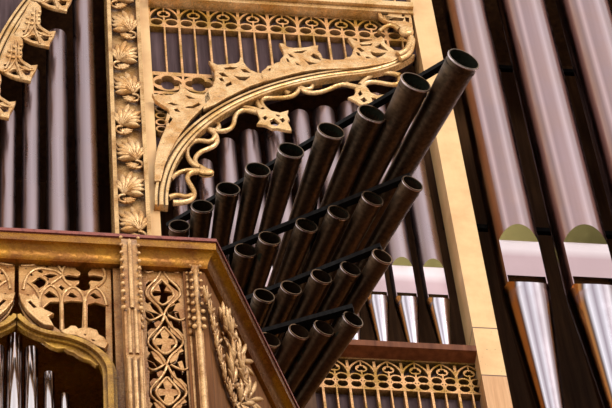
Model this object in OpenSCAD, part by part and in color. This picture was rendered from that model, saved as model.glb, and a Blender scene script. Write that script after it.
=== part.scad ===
// Pipe organ: main case with central tower, fans of horizontal trumpets, two front cases.
// Millimetres. X across, organ axis at 0. Front faces -Y, case front plane at Y 0. Ground at Z 0.

/* [View] */
// Piece to draw

/* [Levels] */
// Top of the low dais
dais_top = 150; // [100:10:250]
// Top of the plinth
plinth_top = 400; // [300:10:600]
// Underside of the impost beam
impost_z = 2150; // [1900:10:2300]
// Depth of the impost beam
impost_h = 100; // [60:10:160]
// Top of the toe boards of the trumpet bays
toe_z = 3300; // [3100:10:3500]
// Top of the toe boards of the tower and the outer bays
low_toe_z = 2650; // [2400:10:2900]
// Underside of the storey beam above the arches
beam_z = 5470; // [5300:10:5600]
// Underside of the side cornice
side_top = 6000; // [5900:10:6400]
// Underside of the tower cornice
tower_top = 7200; // [7000:10:7600]

/* [Case] */
// Depth of the main case
case_depth = 1200; // [900:10:1500]
// Thickness of the case boards
board_t = 30; // [20:1:40]
// Inner face of the plain gilded posts
post_in = 642; // [600:1:700]
// Outer face of the plain gilded posts
post_out = 724; // [710:1:780]
// Inner edge of the plain strip
strip_in = 1728; // [1700:1:1760]
// Inner edge of the foliage pilaster
pil_in = 1765; // [1762:1:1800]
// Outer edge of the foliage pilaster
pil_out = 1887; // [1860:1:1920]
// Inner edge of the end pilaster
end_in = 2355; // [2300:1:2500]
// Outer edge of the end pilaster
end_out = 2560; // [2520:1:2700]
// Depth of posts and pilasters
post_d = 110; // [80:1:160]

/* [Tracery] */
// Front plane of the upper tracery and back of the arches
trace_y = 30; // [20:1:60]
// Front plane of the lower tracery
low_trace_y = 50; // [40:1:70]
// Thickness of a tracery plate
trace_t = 26; // [16:1:40]
// Thickness of the dark boards behind the tracery
back_t = 20; // [10:1:30]
// Distance between main mullions of the upper tracery
bay_pitch = 112; // [90:1:140]
// Distance between main mullions of the lower tracery
low_pitch = 88; // [70:1:110]

/* [Arches] */
// Radius of the great haunch of the trumpet bay arch
haunch_r = 1020; // [900:10:1100]
// Radius of the upturned end of the arch
flick_r = 400; // [300:10:500]
// Height of the springing
spring_z = 4050; // [3900:10:4200]
// Width of the moulded band
band_w = 46; // [36:1:60]
// Depth of the moulded band
band_d = 34; // [24:1:60]
// Height at which the outer bay arch runs into its pilaster
outer_top = 5919; // [5700:1:5930]
// Radius of the outer bay arch
outer_r = 2400; // [2000:10:2600]
// Length of one cusp of the outer arch along the arch
cusp_pitch = 259.6; // [200:0.1:320]
// Depth of the cusps under the outer arch
cusp_d = 104; // [60:1:140]
// Clearance between a curved seat and its band
fit = 0.3; // [0.2:0.05:0.4]

/* [Flue pipes] */
// Mouth height of the tower pipes
tower_mouth = 3790; // [3400:10:4000]
// Mouth height of the back row in the tower
back_mouth = 4240; // [3900:10:4400]
// Mouth height of the trumpet bay pipes
bay_mouth = 3680; // [3500:10:3800]
// Mouth height of the outer bay pipes
outer_mouth = 3350; // [3000:10:3500]
// Height of the flattened upper lip of the bay pipes
lip_h = 185; // [120:5:260]
// Height of the flattened upper lip of the tower pipes
tower_lip_h = 258; // [160:2:300]
// Axis plane of the front row in the tower
tower_y = 115; // [110:1:240]
// Axis plane of the back row in the tower
back_y = 500; // [400:5:600]
// Front plane of the rack bars between the two rows
rack_y = 395; // [320:5:420]
// Heights of the rack bars
rack_z = [4625, 5800]; // [4000:5:6500]
// Share of the radius by which the lips are pressed in
press = 0.45; // [0.2:0.01:0.5]

/* [Trumpets] */
// Heights of the four rows of trumpets
row_z = [3000, 2750, 2500, 2300];
// Wall of a trumpet
bell_t = 2; // [1:0.5:4]
// Forward reach of the chest that carries the trumpets
chest_d = 90; // [60:1:140]
// Diameter at the socket
root_d = 26; // [20:1:40]

/* [Front cases] */
// Distance of each front case's axis from the organ axis
chair_x = 2288; // [2200:1:2400]
// Front wall plane of the front cases
chair_y = -1350; // [-1600:10:-1200]
// Back wall plane of the front cases
chair_back = -750; // [-900:10:-600]
// Half width of the front wall
chair_half = 483; // [440:1:520]
// Top of the front cases
chair_top = 1703; // [1500:1:1900]
// Slope of the canted side, sideways for each unit back
cant = 0.52; // [0.3:0.01:0.7]
// Underside of the front cases' cornice
chair_soffit = 1617; // [1500:1:1700]
// Top of the front cases' sill
sill_z = 600; // [400:10:800]
// Half width of the opening under the ogee arch
ogee_half = 229; // [200:1:260]
// Outer edge of the flanking posts
flank = 318; // [300:1:340]
// Outer edge of the openwork panels
panel_out = 427; // [400:1:450]

/* [Hidden] */
$fa = 6;
gilt = [0.83, 0.60, 0.24];
wood = [0.42, 0.24, 0.12];
dark = [0.20, 0.15, 0.15];
tin = [0.62, 0.59, 0.60];
bronze = [0.16, 0.13, 0.11];
haunch_x = strip_in - 3 - haunch_r;
join_a = 74;
join_x = haunch_x + haunch_r * cos(join_a);
flick_x = haunch_x + (haunch_r + flick_r) * cos(join_a);
flick_z = spring_z + (haunch_r + flick_r) * sin(join_a);
tower_x = post_in - band_w / 2 - 600;
chair_back_half = chair_half + (chair_back - chair_y) * cant;
outer_x = end_in - fit - band_w / 2 - outer_r;
outer_a = acos((pil_out + band_w / 2 - outer_x) / outer_r);
outer_z = outer_top - outer_r * sin(outer_a);
cusp_r = outer_r - cusp_d - 8;
cusp_step = cusp_pitch / cusp_r * 180 / PI;
rim_y = trace_y + trace_t;
low_rim_y = low_trace_y + trace_t;

module both() { children(); mirror([1, 0, 0]) children(); }
module box(x0, x1, y0, y1, z0, z1) { translate([x0, y0, z0]) cube([x1 - x0, y1 - y0, z1 - z0]); }
// a flat shape drawn in X and Z, standing from y0 (front) to y1
module upright(y0, y1) { translate([0, y1, 0]) rotate([90, 0, 0]) linear_extrude(y1 - y0) children(); }
module rect(x0, x1, z0, z1) { translate([x0, z0]) square([x1 - x0, z1 - z0]); }
module ring(x, z, r, w) { translate([x, z]) difference() { circle(r + w / 2); circle(r - w / 2); } }

// moulded band along an arc: centre x, z, radius, start and end angle from +X toward +Z
module arch_band(x, z, r, a0, a1, y) {
    translate([x, y, z]) rotate([90, 0, 0]) rotate([0, 0, a0]) rotate_extrude(angle = a1 - a0, $fn = 360) {
        translate([r - band_w / 2, 0]) square([band_w, band_d * 0.5]);
        translate([r - band_w / 2, 0]) square([band_w * 0.2, band_d * 0.8]);
        translate([r + band_w * 0.3, 0]) square([band_w * 0.2, band_d * 0.8]);
        translate([r, band_d * 0.55]) circle(band_w * 0.22);
    }
}

// flue pipe standing on its foot: body diameter, toe, mouth and top heights
module flue(x, y, d, z0, zm, z1, t = 3, lip = lip_h) {
    r = d / 2;
    in = press * r;
    up = atan2(in, 0.3 * d);
    low = atan2(in - 0.04 * r, 0.28 * d);
    translate([x, y, 0]) difference() {
        union() {
            translate([0, 0, z0]) cylinder(r1 = r * 0.22, r2 = r, h = zm - 4 - z0);
            translate([0, 0, zm - 4]) cylinder(r = r, h = z1 - zm + 4);
        }
        translate([0, 0, zm + lip + d]) cylinder(r = r - t, h = z1);
        translate([-r, -r - 1, zm]) cube([d, 1 + in, lip]);
        translate([-r, -r + in, zm + lip]) rotate([up, 0, 0]) translate([0, -d, 0]) cube([d, d, d]);
        translate([-r, -r + in, zm]) rotate([-low, 0, 0]) translate([0, -d, -d / 2]) cube([d, d, d / 2]);
        translate([-d * 0.4, -r - 1, zm]) cube([d * 0.8, 1 + r * 0.9, d * 0.25]);
    }
}

// trumpet lying forward from its socket at x, y, z to the bell
module trumpet(x0, x1, y1, z, d) {
    len = sqrt(pow(x1 - x0, 2) + pow(y1, 2));
    head = atan2(x1 - x0, -y1);
    difference() {
        translate([x0, 0, z]) rotate([0, 0, head]) rotate([90, 0, 0]) translate([0, 0, 60]) difference() {
            union() {
                cylinder(r1 = root_d / 2, r2 = d / 2, h = len - 60);
                translate([0, 0, len - 66]) cylinder(r = d / 2 + 1.5, h = 6);
            }
            translate([0, 0, 100]) cylinder(r1 = root_d / 2 - bell_t + (d - root_d) / 2 * 100 / (len - 60), r2 = d / 2 - bell_t, h = len - 159.5);
        }
        box(1200, 1900, -chest_d, 10, z - 60, z + 60);
    }
}

// opening with a pointed head, for cutting from a plate
module lancet(x, w, z0, zs) {
    rect(x - w / 2 + 0.5, x + w / 2 - 0.5, z0, zs + 1);
    intersection() { translate([x - w / 2, zs]) circle(w); translate([x + w / 2, zs]) circle(w); rect(x - w, x + w, zs, zs + w); }
}
module quatrefoil(x, z, o, r) { translate([x, z]) circle(o * 0.5); for (a = [0 : 90 : 270]) translate([x + o * cos(a), z + o * sin(a)]) circle(r); }
// part of a flat ring between two angles
module ring_part(c, w) {
    a = c[3]; s = (c[4] - c[3]) / 4; m = 4 * c[2];
    intersection() {
        ring(c[0], c[1], c[2], w);
        translate([c[0], c[1]]) polygon([[0, 0], for (k = [0 : 4]) [m * cos(a + k * s), m * sin(a + k * s)]]);
    }
}
// ribs of a pointed arch of span p springing at z
module pointed(x, p, z, w) { ring_part([x - p / 2, z, p, 0, 61], w); ring_part([x + p / 2, z, p, 119, 180], w); }
// disc of radius r pierced by a trefoil
module trefoil_disc(x, z, r) { difference() { translate([x, z]) circle(r); for (a = [90 : 120 : 330]) translate([x + r * 0.38 * cos(a), z + r * 0.38 * sin(a)]) circle(r * 0.4); } }
// disc of radius r pierced by a quatrefoil
module quatrefoil_disc(x, z, r) { difference() { translate([x, z]) circle(r); quatrefoil(x, z, r * 0.45, r * 0.4); } }
// head of one bay of tracery, p wide about 0: transom at z, rows of paired rings, pointed arch, pierced disc
module tracery_head(p, z, rows) {
    zs = z + p * (0.08 + 0.42 * rows);
    rect(-p / 2 - 1, p / 2 + 1, z, z + p * 0.1);
    for (r = [0 : rows - 1]) for (s = [-1, 1]) ring(s * p / 4, z + p * (0.3 + 0.42 * r), p * 0.228, p * 0.07);
    pointed(0, p, zs, p * 0.075);
    rect(-p * 0.03, p * 0.03, z, zs + p * 0.2);
    rect(-p * 0.025, p * 0.025, zs + p * 0.5, zs + p * 0.84);
    for (s = [-1, 1]) rect(s * p / 2 - p * 0.05, s * p / 2 + p * 0.05, z, zs + p * 0.83);
    trefoil_disc(0, zs + p * 0.36, p * 0.22);
}
// straight run of a profile drawn as projection and height, projecting toward -Y
module run(len) { rotate([90, 0, 90]) linear_extrude(len, center = true) mirror([1, 0]) children(); }
module cornice_shape(p, z0, r, z1) { difference() {
    rect(-5000, p, z0, z1);
    rect(p - r - 4, p + 9, z0 - 9, z0 + 6);
    translate([p - 4, z0 + 6]) circle(r);
    rect(p - 4, p + 9, z0 - 9, z0 + 6 + r);
    rect(p - 4, p + 9, z0 + 5 + r, z1 - 13);
} }

module dais_skirting() { color(wood) {
    difference() { box(-3200, 3200, -1500, case_depth + 60, 0, dais_top - 40); box(-3170, 3170, -1470, case_depth + 30, -1, dais_top); }
    for (i = [-3 : 3]) box(i * 1050 - 30, i * 1050 + 30, -1480, case_depth + 40, 0, dais_top - 40);
} }
module dais_deck() { color(wood) box(-3220, 3220, -1520, case_depth + 80, dais_top - 40, dais_top); }
module main_plinth() { color(wood) difference() {
    union() {
        box(-end_out - 40, end_out + 40, -40, case_depth, dais_top, plinth_top - 40);
        box(-end_out - 20, end_out + 20, -20, case_depth, plinth_top - 40, plinth_top);
    }
    box(-end_out + 20, end_out - 20, 40, case_depth - 40, dais_top - 1, plinth_top + 1);
} }
module lower_frame() { color(wood) difference() {
    box(-end_out, end_out, 0, 60, plinth_top, impost_z);
    for (i = [-4 : 3]) box(i * 620 + 70, i * 620 + 550, -1, 61, plinth_top + 130, impost_z - 120);
} }
module lower_panels() { color(wood) box(-end_out + board_t, end_out - board_t, 60, 80, plinth_top, impost_z); }
module impost_beam() { color(gilt) {
    box(-end_out - 20, end_out + 20, -20, post_d, impost_z, impost_z + 30);
    box(-end_out - 40, end_out + 40, -45, post_d, impost_z + 30, impost_z + impost_h);
} }
module inner_posts() { color(gilt) both() box(post_in, post_out, 0, post_d, impost_z + impost_h, tower_top); }
module plain_strips() { color(gilt) both() box(strip_in, pil_in, 30, post_d, impost_z + impost_h, side_top); }
module foliage_pilasters() { color(gilt) both() {
    box(pil_in, pil_out, 30, post_d, impost_z + impost_h, side_top);
    box(pil_in, pil_in + 14, 0, 30, impost_z + impost_h, side_top);
    box(pil_out - 14, pil_out, 0, 30, impost_z + impost_h, side_top);
} }
module end_pilasters() { color(gilt) both() {
    box(end_in, end_out, 20, post_d, impost_z + impost_h, side_top);
    box(end_in, end_in + 20, 0, 20, impost_z + impost_h, side_top);
    box(end_out - 20, end_out, 0, 20, impost_z + impost_h, side_top);
} }
module lower_tracery() { color(gilt) both() upright(low_trace_y, low_rim_y) {
    intersection() {
        rect(post_out, strip_in, 3000, toe_z - 30);
        union() {
            for (k = [0 : 11]) translate([750 + low_pitch * k, 0]) tracery_head(low_pitch, 3098, 2);
            rect(post_out - 2, strip_in + 2, toe_z - 38, toe_z - 20);
        }
    }
    for (k = [0 : 10]) rect(794 + low_pitch * k - 4, 794 + low_pitch * k + 4, impost_z + impost_h, 3099);
    for (k = [0 : 11]) rect(max(post_out, 750 + low_pitch * k - 2.5), 750 + low_pitch * k + 2.5, impost_z + impost_h, 3099);
    rect(post_out, strip_in, impost_z + impost_h, impost_z + impost_h + 40);
    rect(post_out, strip_in, 2690, 2712);
} }
module backing_boards() { color(dark) {
    both() box(post_out, strip_in, low_rim_y, low_rim_y + back_t, impost_z + impost_h, toe_z - 30);
    both() upright(rim_y, rim_y + back_t) over_arch();
    both() box(post_out, strip_in, rim_y, rim_y + back_t, beam_z + 60, side_top);
    both() upright(rim_y, rim_y + back_t) difference() {
        rect(pil_out, end_in, outer_z, side_top);
        translate([outer_x, outer_z]) circle(outer_r, $fn = 360);
    }
    upright(rim_y, rim_y + back_t) difference() {
        rect(-post_in, post_in, 6250, tower_top);
        both2() intersection() { translate([tower_x, 6250]) circle(600, $fn = 360); rect(tower_x + 600 * cos(70), 700, 6100, 7000); }
        both2() difference() { rect(-1, tower_x + 600 * cos(70) + 0.1, 6100, 7065); translate([tower_cx, tower_cz]) circle(400, $fn = 360); }
    }
} }
module trumpet_toe_boards() { color(wood) both() box(post_out, strip_in, 0, 420, toe_z - 30, toe_z); }
module low_toe_boards() { color(wood) {
    box(-post_in, post_in, 20, back_y + 100, low_toe_z - 50, low_toe_z);
    both() box(pil_out, end_in, 20, 420, low_toe_z - 50, low_toe_z);
    box(-post_in, post_in, 40, 60, impost_z + impost_h, low_toe_z - 50);
    both() box(pil_out, end_in, 40, 60, impost_z + impost_h, low_toe_z - 50);
} }
module bay_arches() { color(gilt) both() {
    arch_band(haunch_x, spring_z, haunch_r, 0, join_a, trace_y);
    arch_band(flick_x, flick_z, flick_r, 180 + join_a - 40, 180 + join_a - 0.05, trace_y);
} }
// Branches of the scroll under the arch: centre, radius, start and end angle
scroll_arcs = [[1510, 4404, 120, 308, 371], [1497, 4371, 102, 331, 420], [1589, 4525, 78, 122, 240],
    [1613, 4249, 59, 0, 110], [1562, 4238, 70, 330, 420], [1685, 4156, 78, 144, 232], [1666, 4112, 35, 206, 335],
    [1245, 4794, 121, 332, 437], [1284, 4913, 92, 160, 241], [1259, 4748, 90, 30, 107], [1280, 4764, 64, 302, 391],
    [1399, 4695, 62, 60, 144], [1132, 4954, 75, 261, 355], [1091, 4927, 58, 35, 125], [1016, 4920, 45, 35, 167],
    [869, 4945, 102, 350, 432], [831, 4946, 119, 51, 112], [912, 4950, 45, 352, 474], [834, 5080, 107, 258, 307]];
scroll_knobs = [[1590, 4310], [1674, 4258], [1700, 4092], [1316, 4706], [1352, 4736], [963, 4930], [900, 5040], [1237, 4834]];
module arch_scrolls() { color(gilt) both() upright(trace_y, trace_y + 14) intersection() {
    union() {
        for (c = scroll_arcs) ring_part(c, 12);
        for (k = scroll_knobs) translate(k) circle(15);
    }
    union() {
        intersection() { translate([haunch_x, spring_z]) circle(haunch_r - 2, $fn = 360); rect(join_x, 1760, spring_z - 60, 5200); }
        difference() { rect(post_out, join_x + 0.1, spring_z, flick_z - 100); translate([flick_x, flick_z]) circle(flick_r + 2, $fn = 360); }
    }
} }
module over_arch() { difference() {
    rect(post_out, strip_in, spring_z, beam_z);
    intersection() { translate([haunch_x, spring_z]) circle(haunch_r, $fn = 360); rect(join_x, 1800, spring_z - 100, beam_z + 100); }
    difference() { rect(post_out - 20, join_x + 0.1, spring_z - 100, flick_z - 100); translate([flick_x, flick_z]) circle(flick_r, $fn = 360); }
} }
module bay_tracery() { color(gilt) both() upright(trace_y, rim_y) intersection() {
    over_arch();
    union() {
        for (k = [1 : 8]) rect(strip_in - bay_pitch * k - 4, strip_in - bay_pitch * k + 4, spring_z, 5330);
        for (k = [0 : 8]) rect(strip_in - bay_pitch * (k + 0.5) - 3, strip_in - bay_pitch * (k + 0.5) + 3, spring_z, 4830);
        for (k = [0 : 8]) rect(strip_in - bay_pitch * (k + 0.5) - 3, strip_in - bay_pitch * (k + 0.5) + 3, 4970, 5330);
        for (k = [0 : 8]) translate([strip_in - bay_pitch * (k + 0.5), 0]) {
            tracery_head(bay_pitch, 5322, 1);
            quatrefoil_disc(0, 4915, 58);
            for (s = [-1, 1]) { rect(s * 56 - 3, s * 56 + 3, 4760, 4980); pointed(s * 28, 56, 4788, 5); ring(s * 28, 4768, 23, 7); }
            rect(-57, 57, 4738, 4746);
        }
        rect(post_out, strip_in, 4966, 4990);
        rect(post_out, strip_in, 4836, 4852);
        rect(post_out, strip_in, 5463, 5475);
        for (z = [4590 : 46 : 4740]) { ring(1705, z, 18, 7); ring(1665, z + 22, 16, 6); }
    }
} }
module storey_beams() { color(gilt) both() {
    box(post_out, strip_in, -10, post_d, beam_z, beam_z + 25);
    box(post_out, strip_in, -25, post_d, beam_z + 25, beam_z + 60);
} }
module upper_tracery() { color(gilt) both() upright(trace_y, rim_y) {
    for (k = [1 : 8]) rect(strip_in - bay_pitch * k - 4, strip_in - bay_pitch * k + 4, beam_z + 60, side_top - 150);
    for (k = [0 : 8]) rect(strip_in - bay_pitch * (k + 0.5) - 3, strip_in - bay_pitch * (k + 0.5) + 3, beam_z + 60, side_top - 150);
    rect(post_out, strip_in, beam_z + 60, beam_z + 80);
    intersection() {
        rect(post_out, strip_in, side_top - 160, side_top);
        union() {
            for (k = [0 : 8]) translate([strip_in - bay_pitch * (k + 0.5), 0]) tracery_head(bay_pitch, side_top - 160, 1);
            rect(post_out, strip_in, side_top - 12, side_top + 5);
        }
    }
} }
module outer_arches() { color(gilt) both() arch_band(outer_x, outer_z, outer_r, 0, outer_a, trace_y); }
module outer_cusps() { color(gilt) both() upright(6, 26) intersection() {
    difference() {
        translate([outer_x, outer_z]) circle(outer_r - band_w / 2 - fit, $fn = 360);
        translate([outer_x, outer_z]) circle(outer_r - cusp_d, $fn = 360);
        for (k = [-0.3 : 4.7]) translate([outer_x + cusp_r * cos(cusp_step * k), outer_z + cusp_r * sin(cusp_step * k)]) circle(cusp_pitch / 2 - 6.8);
    }
    translate([outer_x, outer_z]) polygon([[0, 0], [outer_r * 1.2, 0], [outer_r * 1.2 * cos(cusp_step * 4.75), outer_r * 1.2 * sin(cusp_step * 4.75)]]);
} }
module tower_arch() { color(gilt) {
    both() {
        arch_band(tower_x, 6250, 600, 0, 70, trace_y);
        arch_band(tower_cx, tower_cz, 400, 212, 249.95, trace_y);
    }
} }
module tower_keystone() { color(gilt) {
    upright(trace_y - band_d, trace_y) both2() polygon([[0, tower_cz + (400 + band_w / 2) * sin(212) + 6], [tower_cx + (396 + band_w / 2) * cos(212), tower_cz + (396 + band_w / 2) * sin(212)],
        [tower_cx + (400 - band_w / 2) * cos(212), tower_cz + (400 - band_w / 2) * sin(212)], [30, 7160], [0, 7180]]);
} }
tower_cx = tower_x + 1000 * cos(70);
tower_cz = 6250 + 1000 * sin(70);
module both2() { children(); mirror([1, 0]) children(); }
module case_sides() { color(wood) both() {
    box(end_out - board_t, end_out, 60, case_depth, plinth_top, impost_z);
    box(end_out - board_t, end_out, post_d, case_depth, impost_z, side_top);
    box(post_in, post_in + board_t, post_d, case_depth, side_top + board_t, tower_top);
} }
module case_back() { color(wood) {
    box(-end_out + board_t, end_out - board_t, case_depth - board_t, case_depth, plinth_top, side_top);
    box(-post_in, post_in, case_depth - board_t, case_depth, side_top, tower_top);
} }
module case_roofs() { color(wood) {
    both() box(post_in, end_out, post_d, case_depth, side_top, side_top + board_t);
    box(-post_in - board_t, post_in + board_t, post_d, case_depth, tower_top, tower_top + board_t);
} }
module side_cornice() { color(gilt) both() difference() {
    intersection() {
        translate([2000, 0, 0]) run(6000) cornice_shape(60, side_top, 54, side_top + 110);
        translate([end_out, 0, 0]) rotate([0, 0, 90]) run(3000) cornice_shape(60, side_top, 54, side_top + 110);
        box(post_out, 3000, -100, case_depth, side_top - 1, side_top + 200);
    }
    box(0, end_out, post_d, case_depth + 1, side_top - 1, side_top + 200);
} }
module tower_cornice() { color(gilt) difference() {
    intersection() {
        run(3000) cornice_shape(70, tower_top, 64, tower_top + 140);
        translate([post_out, 0, 0]) rotate([0, 0, 90]) run(3000) cornice_shape(70, tower_top, 64, tower_top + 140);
        mirror([1, 0, 0]) translate([post_out, 0, 0]) rotate([0, 0, 90]) run(3000) cornice_shape(70, tower_top, 64, tower_top + 140);
        box(-1000, 1000, -100, case_depth, tower_top - 1, tower_top + 200);
    }
    box(-post_in - board_t, post_in + board_t, post_d, case_depth + 1, tower_top - 1, tower_top + 200);
} }
module pinnacle(x, y, z, w, h) { translate([x, y, z]) {
    translate([-w / 2, -w / 2, 0]) cube([w, w, h * 0.35]);
    translate([-w * 0.62, -w * 0.62, h * 0.35]) cube([w * 1.24, w * 1.24, h * 0.06]);
    translate([0, 0, h * 0.41]) cylinder(r1 = w * 0.5, r2 = w * 0.14, h = h * 0.5);
    translate([0, 0, h * 0.94]) sphere(h * 0.06);
} }
module cornice_pinnacles() { color(gilt) both() {
    pinnacle(post_out - 20, 40, tower_top + 140, 60, 360);
    pinnacle(end_out - 40, 40, side_top + 110, 60, 360);
    pinnacle((pil_in + pil_out) / 2, 40, side_top + 110, 60, 360);
} }
module tower_pipes() { color(tin) {
    flue(0, tower_y, 205, low_toe_z, tower_mouth, 6650, 4, tower_lip_h);
    both() {
        flue(248, tower_y, 185, low_toe_z, tower_mouth, 6520, 4, tower_lip_h);
        flue(482, tower_y, 165, low_toe_z, tower_mouth, 6380, 4, tower_lip_h);
        flue(124, back_y, 145, low_toe_z, back_mouth, 6600, 4, tower_lip_h);
        flue(365, back_y, 145, low_toe_z, back_mouth, 6450, 4, tower_lip_h);
    }
} }
// Trumpet bay pipes: distance from the organ axis, top height, diameter
bay_row = [[798, 5100, 84], [905, 4980, 84], [1005, 4913, 82], [1100, 4867, 82], [1193, 4836, 76],
    [1290, 4720, 75], [1382, 4680, 74], [1468, 4615, 69], [1552, 4470, 62], [1645, 4380, 56]];
module bay_flues() { color(tin) both() for (p = bay_row) flue(p[0], 100, p[2], toe_z, bay_mouth, p[1], 2.5); }
// Outer bay pipes: distance from the organ axis, top height, diameter
outer_row = [[1968, 5592, 80], [2070, 5315, 78], [2163, 5037, 64], [2243, 4741, 55], [2312, 4440, 46]];
module outer_pipes() { color(tin) both() for (p = outer_row) flue(p[0], 100, p[2], low_toe_z, outer_mouth, p[1], 2.5); }

module trumpet_chests() { color(wood) both() difference() {
    union() {
        box(1290, 1790, -chest_d, 0, impost_z + impost_h, toe_z - 150);
        box(1290, strip_in, 0, low_trace_y, impost_z + impost_h, toe_z - 150);
    }
    box(1310, strip_in - 20, -chest_d + 20, low_trace_y + 1, impost_z + impost_h + 20, toe_z - 170);
} }
// Trumpets of each row: bell across, bell forward, socket across, bell diameter
row_1 = [[1754, 596, 1738, 62], [1691, 671, 1692, 66], [1618, 739, 1648, 70], [1535, 813, 1604, 74], [1442, 888, 1560, 78],
    [1329, 965, 1516, 82], [1213, 1033, 1474, 86], [1095, 1151, 1432, 92], [962, 1239, 1388, 98]];
row_2 = [[1651, 639, 1704, 66], [1572, 684, 1658, 66], [1505, 731, 1614, 66], [1400, 784, 1572, 66], [1310, 835, 1532, 66],
    [1215, 891, 1492, 66], [1103, 951, 1452, 66]];
row_3 = [[1592, 638, 1718, 62], [1532, 694, 1678, 62], [1456, 726, 1638, 62], [1372, 771, 1600, 62], [1290, 803, 1562, 62], [1203, 852, 1526, 62]];
row_4 = [[1525, 677, 1728, 62], [1444, 711, 1688, 62], [1374, 728, 1650, 62], [1294, 763, 1612, 62]];
module trumpets_upper() { color(bronze) both() {
    for (p = row_1) trumpet(p[2], p[0], -p[1], row_z[0], p[3]);
    for (p = row_2) trumpet(p[2], p[0], -p[1], row_z[1], p[3]);
} }
module trumpets_lower() { color(bronze) both() {
    for (p = row_3) trumpet(p[2], p[0], -p[1], row_z[2], p[3]);
    for (p = row_4) trumpet(p[2], p[0], -p[1], row_z[3], p[3]);
} }
module rail(x0, y0, x1, y1, z) {
    len = sqrt(pow(x1 - x0, 2) + pow(y1 - y0, 2));
    translate([x0, y0, z]) rotate([0, 0, atan2(y1 - y0, x1 - x0)]) translate([-30, -10, -20]) cube([len + 60, 20, 20]);
}
module strut(x, y, z) { box(x - 8, x + 8, y, -chest_d, z - 18, z - 2); }
// Carrying rail over each row: start across and forward, end across and forward, lift over the row's axis
rails = [[1760, 570, 1000, 1190, 48], [1660, 630, 1130, 930, 34], [1600, 630, 1230, 840, 32], [1540, 670, 1320, 760, 32]];
module row_rail(z, r) {
    rail(r[0], -r[1], r[2], -r[3], z);
    for (t = [0.1, 0.55]) strut(r[0] + (r[2] - r[0]) * t, -r[1] - (r[3] - r[1]) * t, z);
}
module pipe_rails() { color(bronze) {
    both() for (k = [0 : 3]) row_rail(row_z[k] + rails[k][4] + 20, rails[k]);
    for (z = rack_z) { box(-post_in, post_in, rack_y, rack_y + 17, z, z + 26); both() box(post_in - 20, post_in, post_d, rack_y + 1, z, z + 26); }
} }

module chair_plan(o) { polygon([[-chair_half - o, chair_y - o], [chair_half + o, chair_y - o], [chair_back_half + o, chair_back + o], [-chair_back_half - o, chair_back + o]]); }
module at_chairs() { both() translate([chair_x, 0, 0]) children(); }
module chair_plinths() { color(wood) at_chairs() difference() {
    union() { translate([0, 0, dais_top]) linear_extrude(150) chair_plan(30); translate([0, 0, dais_top + 150]) linear_extrude(40) chair_plan(15); }
    translate([0, 0, dais_top - 1]) linear_extrude(250) chair_plan(-40);
} }
module chair_walls() { color(wood) at_chairs() difference() {
    translate([0, 0, dais_top + 190]) linear_extrude(chair_soffit - dais_top - 190) chair_plan(0);
    translate([0, 0, dais_top + 189]) linear_extrude(chair_top) chair_plan(-25);
    box(-panel_out, panel_out, chair_y - 10, chair_y + 40, sill_z, chair_top);
} }
module chair_front_frames() { color(gilt) at_chairs() both() box(ogee_half + 17, flank, chair_y, chair_y + 25, sill_z, chair_soffit); }
module chair_cornices() { color(gilt) at_chairs() difference() {
    intersection() {
        translate([0, chair_y, 0]) run(2600) cornice_shape(50, chair_soffit, 34, chair_top);
        translate([chair_half, chair_y, 0]) rotate([0, 0, 90 - atan(cant)]) run(2600) cornice_shape(50, chair_soffit, 34, chair_top);
        mirror([1, 0, 0]) translate([chair_half, chair_y, 0]) rotate([0, 0, 90 - atan(cant)]) run(2600) cornice_shape(50, chair_soffit, 34, chair_top);
        box(-1200, 1200, chair_y - 100, chair_back, chair_soffit - 1, chair_top + 1);
    }
    translate([0, 0, chair_soffit - 1]) linear_extrude(chair_top - 22 - chair_soffit) chair_plan(-25);
} }
// Ogee arch of a front case: lower and upper arc, centre, radius, start and end angle
ogee_low = [77, 1130, ogee_half - 77, 0, 82];
ogee_up = [115, 1400, 120, 201, 262];
module ogee(w) {
    rect(ogee_half - w / 2, ogee_half + w / 2, sill_z, 1130.01);
    ring_part(ogee_low, w);
    ring_part([ogee_up[0], ogee_up[1], ogee_up[2], ogee_up[3], ogee_up[4] + 0.6], w);
}
module chair_arches() { color(gilt) at_chairs() both() translate([0, chair_y, 0]) {
    upright(-10, 5) intersection() { ogee(34); rect(1.5, 300, sill_z, 1500); }
    upright(-20, -10) intersection() { ogee(14); rect(1.5, 300, sill_z, 1500); }
} }
module over_ogee() { difference() {
    rect(1.5, ogee_half + 17, 1130, chair_soffit);
    translate([ogee_low[0], ogee_low[1]]) circle(ogee_low[2]);
    rect(-1, 98, 1100, 1282);
    difference() { rect(-1, 98.2, 1281, 1360); translate([ogee_up[0], ogee_up[1]]) circle(ogee_up[2]); }
} }
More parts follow.
